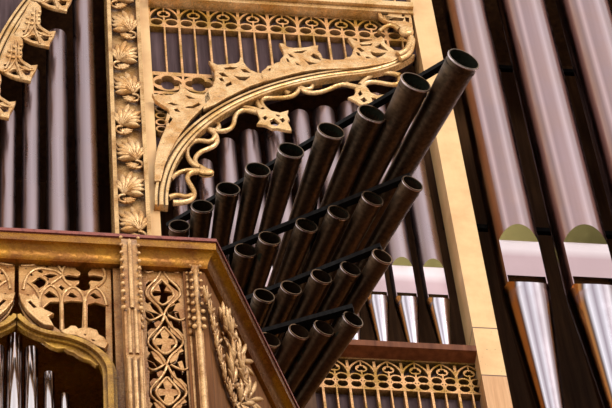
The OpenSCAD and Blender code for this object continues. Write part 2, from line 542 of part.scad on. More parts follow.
// Openings of the side panel in one quarter of its pattern: offset from the axis, height from the quatrefoil, radius
panel_holes = [[43, 15, 7.5], [38, 37, 11], [16, 47, 8], [22, 72, 13], [45, 62, 6.5], [43, 84, 8], [14, 97, 9], [36, 104, 7]];
module chair_tracery() { color(gilt) at_chairs() both() translate([0, chair_y, 0]) {
    upright(5, 20) intersection() {
        over_ogee();
        union() {
            ogee(26);
            rect(1, 10, 1200, chair_soffit);
            for (k = [1 : 3]) rect(57 * k - 3.5, 57 * k + 3.5, 1150, 1480);
            rect(226, 247, 1150, chair_soffit);
            for (k = [0 : 3]) { pointed(28.5 + 57 * k, 57, 1446, 7); trefoil_disc(28.5 + 57 * k, 1457, 27); }
            for (k = [0, 1]) quatrefoil_disc(57 + 114 * k, 1553, 58);
            rect(0, 248, 1606, chair_soffit);
        }
    }
    upright(5, 20) difference() {
        rect(flank, panel_out, sill_z, chair_soffit);
        for (k = [0 : 4]) translate([(flank + panel_out) / 2, 1527 - 215.5 * k]) {
            quatrefoil(0, 0, 14, 11);
            for (h = panel_holes) for (sx = [-1, 1]) for (sz = [-1, 1]) if (k < 4 || sz > 0) if (k > 0 || sz < 0 || h[1] < 75) translate([sx * h[0], sz * h[1]]) circle(h[2]);
        }
    }
} }
module chair_buttresses() { color(gilt) at_chairs() both() {
    translate([284, 0, 0]) rotate([90, 0, 90]) linear_extrude(40, center = true) polygon([[chair_y, dais_top + 190], [chair_y - 82, dais_top + 190], [chair_y - 82, 1112],
        [chair_y - 68, 1138], [chair_y - 68, chair_soffit + 8], [chair_y - 59, chair_soffit + 48], [chair_y - 50 - fit, chair_soffit + 48], [chair_y - 50 - fit, chair_soffit - fit], [chair_y, chair_soffit - fit]]);
    box(304, flank, chair_y - 12, chair_y, dais_top + 190, chair_soffit - fit);
    box(446, 466, chair_y - 22, chair_y, dais_top + 190, chair_soffit - fit);
} }
module chair_toe_boards() { color(wood) at_chairs() box(-431, 431, chair_y + 25, chair_y + 200, sill_z - 40, sill_z); }
// Front case pipes: distance from the case's axis, top height, diameter
chair_row = [[42, 1340, 36], [86, 1240, 29], [125, 1155, 24], [160, 1085, 20]];
module chair_pipes() { color(tin) at_chairs() {
    flue(0, chair_y + 80, 41, sill_z, 800, 1390, 1.5, 50);
    both() for (p = chair_row) flue(p[0], chair_y + 80, p[2], sill_z, 800, p[1], 1.5, 50);
} }

dais_skirting();
dais_deck();
main_plinth();
lower_frame();
lower_panels();
impost_beam();
inner_posts();
plain_strips();
foliage_pilasters();
end_pilasters();
lower_tracery();
trumpet_toe_boards();
low_toe_boards();
bay_arches();
arch_scrolls();
bay_tracery();
backing_boards();
storey_beams();
upper_tracery();
outer_arches();
outer_cusps();
tower_arch();
tower_keystone();
case_sides();
case_back();
case_roofs();
side_cornice();
tower_cornice();
cornice_pinnacles();
tower_pipes();
bay_flues();
outer_pipes();
trumpet_chests();
pipe_rails();
trumpets_upper();
trumpets_lower();
chair_plinths();
chair_walls();
chair_front_frames();
chair_cornices();
chair_arches();
chair_tracery();
chair_buttresses();
chair_toe_boards();
chair_pipes();
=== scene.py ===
import math
import bmesh
import bpy
from mathutils import Matrix, Vector


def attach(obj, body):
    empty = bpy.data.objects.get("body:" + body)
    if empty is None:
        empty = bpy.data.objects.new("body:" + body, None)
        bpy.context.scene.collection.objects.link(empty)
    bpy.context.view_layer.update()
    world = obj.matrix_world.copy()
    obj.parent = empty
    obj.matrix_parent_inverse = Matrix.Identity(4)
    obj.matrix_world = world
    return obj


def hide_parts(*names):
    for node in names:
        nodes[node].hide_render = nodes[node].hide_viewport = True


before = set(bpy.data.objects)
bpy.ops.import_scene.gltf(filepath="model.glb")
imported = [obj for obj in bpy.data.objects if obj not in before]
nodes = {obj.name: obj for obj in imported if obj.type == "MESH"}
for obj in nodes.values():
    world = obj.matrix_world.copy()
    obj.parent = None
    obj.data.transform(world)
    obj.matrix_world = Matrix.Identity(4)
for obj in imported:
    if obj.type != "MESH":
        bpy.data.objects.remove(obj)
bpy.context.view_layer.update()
print("frame loaded,", len(nodes), "nodes")

# camera at the photograph's angle
cameraSet = {
    "place": (-2.55273, -6.17475, -5.62517), "right": (0.99194, -0.10757, -0.06697),
    "up": (-0.05456, -0.83957, 0.54051), "forward": (0.11437, 0.53249, 0.83867), "lens": 198.88,
    "sensor": 36, "clip": (0.1, 100), "photo": (612, 408),
}


def addCamera(values):
    bpy.ops.object.camera_add()
    cam = bpy.context.active_object
    cam.name = "photoCamera"
    right, up, back = Vector(values["right"]), Vector(values["up"]), -Vector(values["forward"])
    turn = Matrix((right, up, back)).transposed().to_4x4()
    cam.matrix_world = Matrix.Translation(values["place"]) @ turn
    cam.data.lens = values["lens"]
    cam.data.sensor_width = values["sensor"]
    cam.data.clip_start, cam.data.clip_end = values["clip"]
    bpy.context.scene.camera = cam


addCamera(cameraSet)
print("camera placed")


def fromPhotoOn(u, v, point, normal):
    # the place on a plane that the photograph shows at its pixel (u, v)
    width, height = cameraSet["photo"]
    focal = cameraSet["lens"] / cameraSet["sensor"] * width
    right, up, ahead = (Vector(cameraSet[key]) for key in ("right", "up", "forward"))
    ray = right * ((u - width / 2) / focal) + up * ((height / 2 - v) / focal) + ahead
    start = Vector(cameraSet["place"])
    return start + ray * ((Vector(point) - start).dot(normal) / ray.dot(normal))


def fromPhoto(u, v, y):
    return fromPhotoOn(u, v, (0, y, 0), Vector((0, -1, 0)))


# shader tools
def feed(tree, socket, value):
    # the value is another node's output, a colour or a number
    if hasattr(value, "is_output"):
        tree.links.new(value, socket)
    else:
        socket.default_value = (*value, 1) if isinstance(value, tuple) else value


def addNode(tree, kind, inputs, **values):
    node = tree.nodes.new(kind)
    for key, value in values.items():
        setattr(node, key, value)
    for key, value in inputs.items():
        feed(tree, node.inputs[key], value)
    return node


def calculate(tree, operation, a, b):
    return addNode(tree, "ShaderNodeMath", {0: a, 1: b}, operation=operation).outputs[0]


def remap(tree, value, low, high, a=0.0, b=1.0):
    limits = {"Value": value, "From Min": low, "From Max": high, "To Min": a, "To Max": b}
    return addNode(tree, "ShaderNodeMapRange", limits).outputs["Result"]


def newGroup(name, values, output):
    # a shader group that takes a place and some numbers and gives one value
    tree = bpy.data.node_groups.new(name, "ShaderNodeTree")
    tree.interface.new_socket(name="Vector", in_out="INPUT", socket_type="NodeSocketVector")
    for label, value in values.items():
        socket = tree.interface.new_socket(name=label, in_out="INPUT", socket_type="NodeSocketFloat")
        socket.default_value = value
    tree.interface.new_socket(name=output, in_out="OUTPUT", socket_type="NodeSocketFloat")
    start, end = tree.nodes.new("NodeGroupInput"), tree.nodes.new("NodeGroupOutput")
    return tree, start.outputs, end.inputs[output]


def makeStreakGroup():
    # noise stretched along the height: grain in wood, drawn streaks in pipe metal
    tree, start, end = newGroup("streaks", {"Across": 60.0, "Along": 2.0}, "Value")
    across, along = start["Across"], start["Along"]
    size = addNode(tree, "ShaderNodeCombineXYZ", {"X": across, "Y": across, "Z": along}).outputs[0]
    scaled = addNode(tree, "ShaderNodeVectorMath", {0: start["Vector"], 1: size}, operation="MULTIPLY")
    noise = addNode(tree, "ShaderNodeTexNoise",
                    {"Vector": scaled.outputs[0], "Scale": 1.0, "Detail": 4.0, "Roughness": 0.6})
    tree.links.new(noise.outputs["Fac"], end)
    return tree


def makePatchGroup():
    # soft patches between two levels of a noise
    tree, start, end = newGroup("patches", {"Scale": 8.0, "From": 0.4, "To": 0.6}, "Mask")
    noise = addNode(tree, "ShaderNodeTexNoise",
                    {"Vector": start["Vector"], "Scale": start["Scale"], "Detail": 5.0, "Roughness": 0.62})
    ramp = addNode(tree, "ShaderNodeMapRange",
                   {"Value": noise.outputs["Fac"], "From Min": start["From"], "From Max": start["To"]},
                   interpolation_type="SMOOTHSTEP")
    tree.links.new(ramp.outputs["Result"], end)
    return tree


def makeBandGroup():
    # 1 between two heights, soft at both ends
    tree, start, end = newGroup("heightBand", {"Low": 0.0, "High": 1.0, "Soft": 0.002}, "Mask")
    low, high, soft = start["Low"], start["High"], start["Soft"]
    z = addNode(tree, "ShaderNodeSeparateXYZ", {0: start["Vector"]}).outputs["Z"]
    rise = remap(tree, z, low, calculate(tree, "ADD", low, soft))
    fall = remap(tree, z, calculate(tree, "SUBTRACT", high, soft), high, 1.0, 0.0)
    tree.links.new(calculate(tree, "MULTIPLY", rise, fall), end)
    return tree


groups = {"streaks": makeStreakGroup(), "patches": makePatchGroup(), "heightBand": makeBandGroup()}


class Shader:
    # one material with its principled shader, and short calls for what it is built from
    def __init__(self, name):
        self.mat = bpy.data.materials.new(name)
        self.mat.use_nodes = True
        self.tree = self.mat.node_tree
        self.skin = next(n for n in self.tree.nodes if n.type == "BSDF_PRINCIPLED")
        self.coords = self.tree.nodes.new("ShaderNodeTexCoord").outputs["Object"]

    def group(self, name, **inputs):
        inputs["Vector"] = self.coords
        return addNode(self.tree, "ShaderNodeGroup", inputs, node_tree=groups[name]).outputs[0]

    def mix(self, mask, a, b):
        # the colour sockets of this node are 6 and 7, and its colour comes out at 2
        return addNode(self.tree, "ShaderNodeMix", {0: mask, 6: a, 7: b}, data_type="RGBA").outputs[2]

    def times(self, a, b):
        return calculate(self.tree, "MULTIPLY", a, b)

    def plus(self, a, b):
        return calculate(self.tree, "ADD", a, b)

    def ramp(self, value, low, high, a=0.0, b=1.0):
        return remap(self.tree, value, low, high, a, b)

    def bump(self, height, distance, strength):
        relief = {"Height": height, "Strength": strength, "Distance": distance}
        node = addNode(self.tree, "ShaderNodeBump", relief)
        self.tree.links.new(node.outputs["Normal"], self.skin.inputs["Normal"])

    def bands(self, value, stops):
        # colours one after another while the value goes from -1 to 1
        row = self.tree.nodes.new("ShaderNodeValToRGB")
        self.tree.links.new(self.ramp(value, -1.0, 1.0, 0.0, 1.0), row.inputs["Fac"])
        for k, (at, colour) in enumerate(stops):
            spot = row.color_ramp.elements[k] if k < 2 else row.color_ramp.elements.new(1.0)
            spot.position = 0.5 + at / 2
            spot.color = (*colour, 1)
        return row.outputs["Color"]

    def facing(self, axis):
        # one part of the surface normal
        normal = self.tree.nodes.new("ShaderNodeNewGeometry").outputs["Normal"]
        return addNode(self.tree, "ShaderNodeSeparateXYZ", {0: normal}).outputs[axis]

    def put(self, **values):
        for key, value in values.items():
            feed(self.tree, self.skin.inputs[key.replace("_", " ")], value)


# gilding: light and deep gold, the painted shade in its hollows, how many patches go to a metre, how metallic
# it is
gilding = {
    "archGilt": {
        "light": (1.0, 0.63, 0.29), "deep": (0.66, 0.34, 0.09), "hollowShade": (0.12, 0.045, 0.008), "size": 9.0,
        "metal": 0.4,
    },
    "leafGilt": {
        "light": (1.0, 0.63, 0.29), "deep": (0.66, 0.31, 0.08), "hollowShade": (0.12, 0.04, 0.008), "size": 16.0,
        "metal": 0.3, "carve": 26.0,
    },
    "traceryGilt": {
        "light": (0.98, 0.49, 0.2), "deep": (0.48, 0.23, 0.03), "hollowShade": (0.06, 0.03, 0.004), "size": 14.0,
        "metal": 0.35,
    },
    "pilasterGilt": {
        "light": (0.9, 0.54, 0.22), "deep": (0.48, 0.22, 0.05), "hollowShade": (0.09, 0.03, 0.006), "size": 11.0,
        "metal": 0.3,
    },
    # each return face of the cornice is darkened as painted shade
    "corniceGilt": {
        "light": (0.46, 0.19, 0.008), "deep": (0.22, 0.065, 0.004), "hollowShade": (0.05, 0.015, 0.004),
        "size": 7.0, "metal": 0.55, "cap": 1.686, "returnShade": (0.15, 0.05, 0.012),
        "paint": (0.36, 0.1, 0.07), "oldPaint": (0.12, 0.02, 0.012),
    },
    "ogeeGilt": {
        "light": (0.62, 0.32, 0.04), "deep": (0.3, 0.13, 0.012), "hollowShade": (0.06, 0.022, 0.004),
        "size": 16.0, "metal": 0.35,
    },
    "chairGilt": {
        "light": (0.72, 0.37, 0.12), "deep": (0.4, 0.15, 0.03), "hollowShade": (0.06, 0.018, 0.004),
        "size": 12.0, "metal": 0.3,
    },
    "ribGilt": {
        "light": (0.9, 0.52, 0.21), "deep": (0.52, 0.24, 0.06), "hollowShade": (0.12, 0.035, 0.008),
        "size": 20.0, "metal": 0.3,
    },
}


def makeGilt(name, values):
    s = Shader(name)
    deep, hollowShade = values["deep"], values["hollowShade"]
    tone = s.group("patches", Scale=values["size"], From=0.38, To=0.64)
    fine = s.group("patches", Scale=values["size"] * 9, From=0.45, To=0.72)
    grain = s.group("streaks", Across=150.0, Along=9.0)
    colour = s.mix(tone, values["light"], deep)
    colour = s.mix(s.times(fine, 0.35), colour, deep)
    # painted shade: ambient occlusion finds the hollows, and at the end they are darkened to the hollow shade
    # colour
    hollow = addNode(s.tree, "ShaderNodeAmbientOcclusion", {"Distance": 0.035}, samples=4)
    shade = s.ramp(hollow.outputs["AO"], 0.38, 0.90, 0.95, 0.0)
    if "cap" in values:
        # painted shade: brown on each return that faces sideways, and red paint above the cap's height
        cap = s.group("heightBand", Low=values["cap"], High=values["cap"] + 0.1, Soft=0.002)
        sideways = s.times(s.facing("X"), s.facing("X"))
        colour = s.mix(s.ramp(sideways, 0.12, 0.35, 0.0, 0.8), colour, values["returnShade"])
        colour = s.mix(cap, colour, s.mix(fine, values["paint"], values["oldPaint"]))
    relief = s.plus(s.times(grain, 0.5), fine)
    depth, strength = 0.0012, 0.5
    if "carve" in values:
        lumps = s.group("patches", Scale=values["carve"], From=0.36, To=0.64)
        specks = s.group("patches", Scale=values["carve"] * 3.0, From=0.60, To=0.66)
        colour = s.mix(s.times(lumps, 0.35), colour, deep)
        # dark specks in the carving get the same painted shade, as small cut hollows
        colour = s.mix(s.times(specks, 0.4), colour, hollowShade)
        carving = s.plus(lumps, s.times(specks, 0.6))
        relief = calculate(s.tree, "SUBTRACT", s.times(fine, 0.1), carving)
        depth, strength = 0.005, 0.4
    colour = s.mix(shade, colour, hollowShade)
    s.put(Base_Color=colour, Metallic=values["metal"], Roughness=s.ramp(fine, 0.0, 1.0, 0.26, 0.46))
    s.bump(relief, depth, strength)
    return s.mat


# the plain posts: a darker orange tone with grain below, a worn patch between the heights of two joints, and
# gold above
postGilding = {
    "light": (0.95, 0.6, 0.27), "deep": (0.8, 0.45, 0.19), "lowerTone": (0.78, 0.42, 0.19),
    "lowerDeep": (0.62, 0.3, 0.12), "worn": (0.1, 0.035, 0.02), "joint": (0.09, 0.03, 0.02),
    "patchLow": 3.1364, "patchHigh": 3.4036, "jointHalf": 0.0035,
}


def makePostGilt(values):
    s = Shader("postGilt")
    foot, top, joint = values["patchLow"], values["patchHigh"], values["jointHalf"]
    tone = s.group("patches", Scale=6.0, From=0.35, To=0.7)
    grain = s.group("streaks", Across=110.0, Along=3.5)
    colour = s.mix(tone, values["light"], values["deep"])
    low = s.group("heightBand", Low=0.0, High=foot, Soft=0.001)
    colour = s.mix(low, colour, s.mix(s.ramp(grain, 0.35, 0.65), values["lowerTone"], values["lowerDeep"]))
    patch = s.group("heightBand", Low=foot, High=top, Soft=0.001)
    specks = s.group("patches", Scale=70.0, From=0.62, To=0.70)
    colour = s.mix(s.times(patch, specks), colour, values["worn"])
    for z in (foot, top):
        line = s.group("heightBand", Low=z - joint, High=z + joint, Soft=0.0015)
        colour = s.mix(line, colour, values["joint"])
    s.put(Base_Color=colour, Metallic=0.15, Roughness=s.ramp(grain, 0.3, 0.7, 0.38, 0.55))
    s.bump(grain, 0.0008, 0.4)
    return s.mat


woods = {
    "oakWood": {"light": (0.26, 0.115, 0.045), "deep": (0.09, 0.038, 0.018), "rough": (0.42, 0.62)},
    "toeWood": {"light": (0.32, 0.1, 0.035), "deep": (0.12, 0.032, 0.01), "rough": (0.4, 0.6)},
    "caseWood": {"light": (0.34, 0.13, 0.035), "deep": (0.13, 0.045, 0.012), "rough": (0.6, 0.75)},
    "darkBoard": {"light": (0.135, 0.08, 0.082), "deep": (0.042, 0.022, 0.022), "rough": (0.6, 0.8)},
}


def makeWood(name, values):
    s = Shader(name)
    deep = values["deep"]
    grain = s.group("streaks", Across=42.0, Along=1.6)
    pores = s.group("streaks", Across=260.0, Along=9.0)
    tone = s.group("patches", Scale=3.0, From=0.35, To=0.65)
    colour = s.mix(s.ramp(grain, 0.32, 0.68), values["light"], deep)
    colour = s.mix(s.times(tone, 0.4), colour, deep)
    colour = s.mix(s.ramp(pores, 0.55, 0.75, 0.0, 0.5), colour, deep)
    s.put(Base_Color=colour, Roughness=s.ramp(grain, 0.3, 0.7, *values["rough"]), Specular_IOR_Level=0.2)
    s.bump(s.plus(grain, s.times(pores, 0.5)), 0.0008, 0.5)
    return s.mat


# metals: the organ pipes have a lip between two heights, and bands of painted reflection and shade that
# follow their roundness
metals = {
    "pipeTin": {
        "light": (0.58, 0.44, 0.45), "deep": (0.15, 0.11, 0.115), "warm": (0.36, 0.22, 0.18),
        "rough": (0.24, 0.38), "lip": (3.68, 3.865), "across": 26.0, "bands": "dull",
    },
    "towerTin": {
        "light": (0.62, 0.4, 0.41), "deep": (0.3, 0.185, 0.17), "warm": (0.5, 0.26, 0.15),
        "rough": (0.12, 0.26), "lip": (3.79, 4.048), "across": 16.0, "bands": "bright",
    },
    "chairTin": {
        "light": (0.86, 0.78, 0.78), "deep": (0.5, 0.42, 0.42), "warm": (0.66, 0.5, 0.42),
        "rough": (0.06, 0.16), "lip": (0.8, 0.85), "across": 60.0, "bands": "silver",
    },
    "railIron": {
        "light": (0.012, 0.01, 0.009), "deep": (0.005, 0.004, 0.004), "warm": (0.012, 0.008, 0.006),
        "rough": (0.6, 0.8), "across": 85.0,
    },
    # the pale rims of the bells are a painted highlight
    "rimHighlight": {
        "light": (0.8, 0.64, 0.62), "deep": (0.5, 0.38, 0.35), "warm": (0.66, 0.46, 0.38),
        "rough": (0.25, 0.4), "across": 85.0,
    },
    # the dark green throats inside the bells are painted shade
    "throatShade": {
        "light": (0.05, 0.055, 0.036), "deep": (0.018, 0.021, 0.014), "warm": (0.045, 0.034, 0.022),
        "rough": (0.5, 0.7), "across": 85.0,
    },
    "trumpetBrass": {
        "light": (0.14, 0.088, 0.052), "deep": (0.05, 0.034, 0.022), "warm": (0.14, 0.062, 0.024),
        "rough": (0.34, 0.5), "across": 85.0,
    },
}
# painted light at the pipe mouths: a highlight on the lip, shade below it, and an olive reflection on the
# slope
paintedMouthLight = {
    "bright": (0.9, 0.74, 0.74), "shade": (0.62, 0.43, 0.44), "shadeDrop": 0.05,
    "olive": (0.12, 0.095, 0.035),
}
# painted reflection and shade across each pipe by the way it faces: bright streaks, orange from the gilding,
# dark edges
paintedPipeBands = {
    "bright": [
        (-0.95, (0.05, 0.024, 0.016)), (-0.8, (0.34, 0.16, 0.08)), (-0.62, (0.2, 0.12, 0.115)),
        (-0.48, (0.7, 0.5, 0.5)), (-0.36, (0.36, 0.25, 0.26)), (0.0, (0.41, 0.275, 0.27)),
        (0.22, (0.72, 0.55, 0.57)), (0.36, (0.42, 0.3, 0.31)), (0.66, (0.3, 0.19, 0.18)),
        (0.95, (0.06, 0.035, 0.03)),
    ],
    "dull": [
        (-0.95, (0.04, 0.025, 0.022)), (-0.6, (0.24, 0.15, 0.13)), (-0.3, (0.4, 0.28, 0.29)),
        (0.0, (0.5, 0.38, 0.4)), (0.35, (0.36, 0.27, 0.28)), (0.72, (0.24, 0.16, 0.15)),
        (0.95, (0.05, 0.035, 0.035)),
    ],
    "silver": [
        (-0.95, (0.06, 0.05, 0.05)), (-0.7, (0.36, 0.3, 0.3)), (-0.4, (0.98, 0.92, 0.92)),
        (-0.1, (0.76, 0.67, 0.68)), (0.3, (0.98, 0.88, 0.86)), (0.7, (0.42, 0.32, 0.28)),
        (0.95, (0.07, 0.05, 0.04)),
    ],
    "foot": [
        (-0.96, (0.03, 0.012, 0.006)), (-0.88, (0.56, 0.26, 0.07)), (-0.74, (0.4, 0.16, 0.04)),
        (-0.66, (0.1, 0.06, 0.05)), (-0.52, (0.95, 0.88, 0.95)), (-0.3, (0.4, 0.33, 0.38)),
        (-0.08, (0.85, 0.78, 0.85)), (0.1, (0.52, 0.42, 0.46)), (0.3, (0.92, 0.8, 0.84)),
        (0.48, (0.34, 0.24, 0.24)), (0.72, (0.16, 0.09, 0.07)), (0.95, (0.03, 0.015, 0.01)),
    ],
}


def dressPipe(s, colour, values):
    # painted light on the pipes: reflections and shaded edges in bands along the body, a highlight on the
    # flat lip with shade below it, reflections on the polished foot and an olive reflection on the slope over
    # the lip
    low, high = values["lip"]
    drop = paintedMouthLight["shadeDrop"]
    # painted reflections and shaded edges along the body
    colour = s.mix(0.62, colour, s.bands(s.facing("X"), paintedPipeBands[values["bands"]]))
    # painted highlight on the flat lip, with painted shade below it
    frontal = s.ramp(s.facing("Y"), -0.998, -0.992, 1.0, 0.0)
    flat = s.times(s.group("heightBand", Low=low, High=high, Soft=0.002), frontal)
    shade = s.group("heightBand", Low=low - drop, High=high - drop, Soft=drop)
    colour = s.mix(flat, colour, s.mix(shade, paintedMouthLight["bright"], paintedMouthLight["shade"]))
    # painted reflections on the faces of the foot that tilt down
    foot = s.ramp(s.facing("Z"), -0.06, -0.03, 1.0, 0.0)
    colour = s.mix(foot, colour, s.bands(s.facing("X"), paintedPipeBands["foot"]))
    # painted olive reflection on the steep downward slope over the lip
    slope = s.ramp(s.facing("Z"), -0.55, -0.45, 1.0, 0.0)
    return s.mix(slope, colour, paintedMouthLight["olive"])


def makeMetal(name, values):
    s = Shader(name)
    streak = s.group("streaks", Across=values["across"], Along=0.4)
    cloud = s.group("patches", Scale=5.0, From=0.36, To=0.66)
    fine = s.group("streaks", Across=420.0, Along=5.0)
    colour = s.mix(s.ramp(streak, 0.34, 0.68), values["light"], values["deep"])
    colour = s.mix(s.times(cloud, 0.4), colour, values["warm"])
    if "lip" in values:
        colour = dressPipe(s, colour, values)
    worn = s.plus(s.times(streak, 0.6), s.times(cloud, 0.4))
    s.put(Base_Color=colour, Metallic=1.0, Roughness=s.ramp(worn, 0.2, 0.8, *values["rough"]))
    s.bump(fine, 0.0004, 0.25)
    return s.mat


finishes = {name: makeGilt(name, values) for name, values in gilding.items()}
finishes["postGilt"] = makePostGilt(postGilding)
finishes.update({name: makeWood(name, values) for name, values in woods.items()})
finishes.update({name: makeMetal(name, values) for name, values in metals.items()})

nodeFinish = {
    "postGilt": ["inner_posts", "plain_strips"],
    "archGilt": [
        "bay_arches", "outer_arches", "tower_arch", "tower_keystone", "arch_scrolls", "impost_beam",
        "storey_beams",
    ],
    "leafGilt": ["outer_cusps", "cornice_pinnacles"],
    "traceryGilt": ["lower_tracery", "bay_tracery", "upper_tracery"],
    "pilasterGilt": ["foliage_pilasters", "end_pilasters"],
    "corniceGilt": ["side_cornice", "tower_cornice", "chair_cornices"],
    "ogeeGilt": ["chair_arches"],
    "chairGilt": ["chair_front_frames", "chair_tracery", "chair_buttresses"],
    "oakWood": [
        "dais_skirting", "dais_deck", "main_plinth", "lower_frame", "lower_panels", "low_toe_boards",
        "case_sides", "case_back", "case_roofs", "trumpet_chests",
    ],
    "caseWood": ["chair_plinths", "chair_walls", "chair_toe_boards"],
    "toeWood": ["trumpet_toe_boards"],
    "darkBoard": ["backing_boards"],
    "pipeTin": ["bay_flues", "outer_pipes"],
    "towerTin": ["tower_pipes"],
    "chairTin": ["chair_pipes"],
    "trumpetBrass": ["trumpets_upper", "trumpets_lower"],
    "railIron": ["pipe_rails"],
}
for finish, names in nodeFinish.items():
    for name in names:
        nodes[name].data.materials.clear()
        nodes[name].data.materials.append(finishes[finish])
print("finishes on the frame")


# modelling tools
def deselect():
    bpy.ops.object.select_all(action="DESELECT")


def pick(*objs):
    deselect()
    for o in objs:
        o.select_set(True)
    bpy.context.view_layer.objects.active = objs[0]


def shape(o, kind="VERT"):
    pick(o)
    bpy.ops.object.mode_set(mode="EDIT")
    bpy.ops.mesh.select_mode(type=kind)


def shaped():
    bpy.ops.object.mode_set(mode="OBJECT")


def choose(test, kind="verts"):
    # in edit mode, selects only the vertices or faces that pass the test
    bpy.ops.mesh.select_all(action="DESELECT")
    o = bpy.context.active_object
    mesh = bmesh.from_edit_mesh(o.data)
    for part in getattr(mesh, kind):
        if test(part):
            part.select_set(True)
    mesh.select_flush(True)
    bmesh.update_edit_mesh(o.data)


def chooseAll():
    bpy.ops.mesh.select_all(action="SELECT")


def grow(size, about=(0, 0, 0)):
    bpy.ops.transform.resize(value=size, center_override=about)


def move(y=0, z=0):
    bpy.ops.transform.translate(value=(0, y, z))


def turned(degrees, axis="Z"):
    return Matrix.Rotation(math.radians(degrees), 4, axis)


def finishPiece(piece, name, finish, replaced=None):
    piece.name = name
    piece.data.name = name
    piece.data.materials.clear()
    piece.data.materials.append(finishes[finish])
    pick(piece)
    bpy.ops.object.transform_apply(location=True, rotation=True, scale=True)
    bpy.ops.object.shade_smooth_by_angle(angle=math.radians(45))
    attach(piece, "root")
    if replaced:
        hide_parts(replaced)
    print(name, "has", len(piece.data.polygons), "faces")


def joinAll(objs):
    pick(*objs)
    if len(objs) > 1:
        bpy.ops.object.join()
    return bpy.context.active_object


def spread(source, places):
    # copies one modelled shape to every place, each copy with its own mesh, and takes the model away
    copies = []
    for place in places:
        o = source.copy()
        o.data = source.data.copy()
        o.data.transform(place)
        if place.determinant() < 0:
            o.data.flip_normals()
        bpy.context.scene.collection.objects.link(o)
        copies.append(o)
    bpy.data.objects.remove(source)
    return joinAll(copies)


def onWall(x, y, z, turn=0.0, size=1.0, mirror=1, wide=1.0):
    # a shape modelled flat with its face up, stood upright on the front with its face toward -Y
    place = Matrix.Translation((x, y, z)) @ turned(90, "X") @ turned(turn)
    return place @ Matrix.Diagonal((size * mirror * wide, size, size, 1))


flip = Matrix.Diagonal((-1, 1, 1, 1))


def bothSides(places):
    return places + [flip @ p for p in places]


def mirrored(parts):
    # parts on the side of the photograph, with their mirror image on the other
    return spread(joinAll(parts), bothSides([Matrix()]))


def makeArc(x, y, z, radius, first, last, thick, steps):
    # a bent stem: its section stood at the start of the arc and spun about the centre
    start, stop = math.radians(first), math.radians(last)
    spot = (x + radius * math.cos(start), y, z + radius * math.sin(start))
    deselect()
    bpy.ops.mesh.primitive_circle_add(vertices=6, radius=thick, location=spot, rotation=(0, -start, 0))
    rod = bpy.context.active_object
    bpy.ops.object.transform_apply(location=True, rotation=True)
    shape(rod)
    chooseAll()
    bpy.ops.mesh.spin(steps=steps, angle=stop - start, center=(x, y, z), axis=(0, 1, 0))
    chooseAll()
    bpy.ops.mesh.fill_holes(sides=0)
    bpy.ops.mesh.normals_make_consistent(inside=False)
    shaped()
    return rod


def linkNew(data):
    made = bpy.data.objects.new(data.name, data)
    bpy.context.scene.collection.objects.link(made)
    pick(made)


def makeRod(route, y, thick, root=0.35):
    # a round branch along a smooth line through pixels; its ends are thicker by root, or thinner below 0
    line = bpy.data.curves.new("rod", "CURVE")
    line.dimensions = "3D"
    line.bevel_depth, line.bevel_resolution, line.use_fill_caps = thick, 2, True
    line.resolution_u = 4
    spline = line.splines.new("NURBS")
    spline.points.add(len(route) - 1)
    for i, (u, v) in enumerate(route):
        spline.points[i].co = (*fromPhoto(u, v, y), 1)
        spline.points[i].radius = 1 + root * abs(2 * i / (len(route) - 1) - 1) ** 3
    spline.order_u, spline.use_endpoint_u = 4, True
    linkNew(line)
    bpy.ops.object.convert(target="MESH")
    return bpy.context.active_object


def traced(loop, y, wider=1.0):
    # a loop of pixels on the plane at depth y, drawn wider or narrower about its middle
    spots = [fromPhoto(u, v, y) for u, v in loop]
    mx, mz = sum(p.x for p in spots) / len(spots), sum(p.z for p in spots) / len(spots)
    return [(mx + wider * (p.x - mx), mz + wider * (p.z - mz)) for p in spots]


def makePlate(loops, y, thick, soft):
    # a carved plate: its outline and openings filled as one flat curve, with rounded edges
    plane = bpy.data.curves.new("plate", "CURVE")
    plane.dimensions, plane.fill_mode = "2D", "BOTH"
    plane.extrude, plane.bevel_depth, plane.bevel_resolution = thick / 2 - soft, soft, 1
    for loop in loops:
        line = plane.splines.new("POLY")
        line.points.add(len(loop) - 1)
        for point, (x, z) in zip(line.points, loop):
            point.co = (x, z, 0, 1)
        line.use_cyclic_u = True
    linkNew(plane)
    bpy.ops.object.convert(target="MESH")
    plate = bpy.context.active_object
    plate.data.transform(Matrix.Translation((0, y, 0)) @ turned(90, "X"))
    return plate


def carvedPlate(loops, y, thick, soft=0.003, wider=1.3):
    # openings are drawn wider, because the rounded edges and the steep view narrow them
    openings = [traced(loop, y, wider) for loop in loops[1:]]
    return makePlate([traced(loops[0], y)] + openings, y, thick, soft)


# one finger of a leaf before it is stretched: a ball 1 long with a narrow stalk and a drooping tip
fingerShape = {
    "stalkBelow": -0.2, "stalk": (0.55, 1, 0.6), "tipAbove": 0.3, "tip": (0.7, 1, 0.8), "droop": 0.12,
}


def makeFingers(values):
    # a broad carved leaf: pointed fingers side by side, fanned out from its stalk
    deselect()
    bpy.ops.mesh.primitive_ico_sphere_add(subdivisions=2, radius=0.5)
    finger = bpy.context.active_object
    shape(finger)
    choose(lambda v: v.co.y < fingerShape["stalkBelow"])
    grow(fingerShape["stalk"], (0, -0.5, 0))
    choose(lambda v: v.co.y > fingerShape["tipAbove"])
    grow(fingerShape["tip"], (0, 0.5, 0))
    move(z=-fingerShape["droop"])
    chooseAll()
    move(y=0.5)
    shaped()
    places = []
    for turn, reach, wide in values["fingers"]:
        size = Matrix.Diagonal((wide, reach, values["deep"], 1))
        places.append(turned(180 + turn) @ turned(values["lift"], "X") @ size)
    return spread(finger, places)


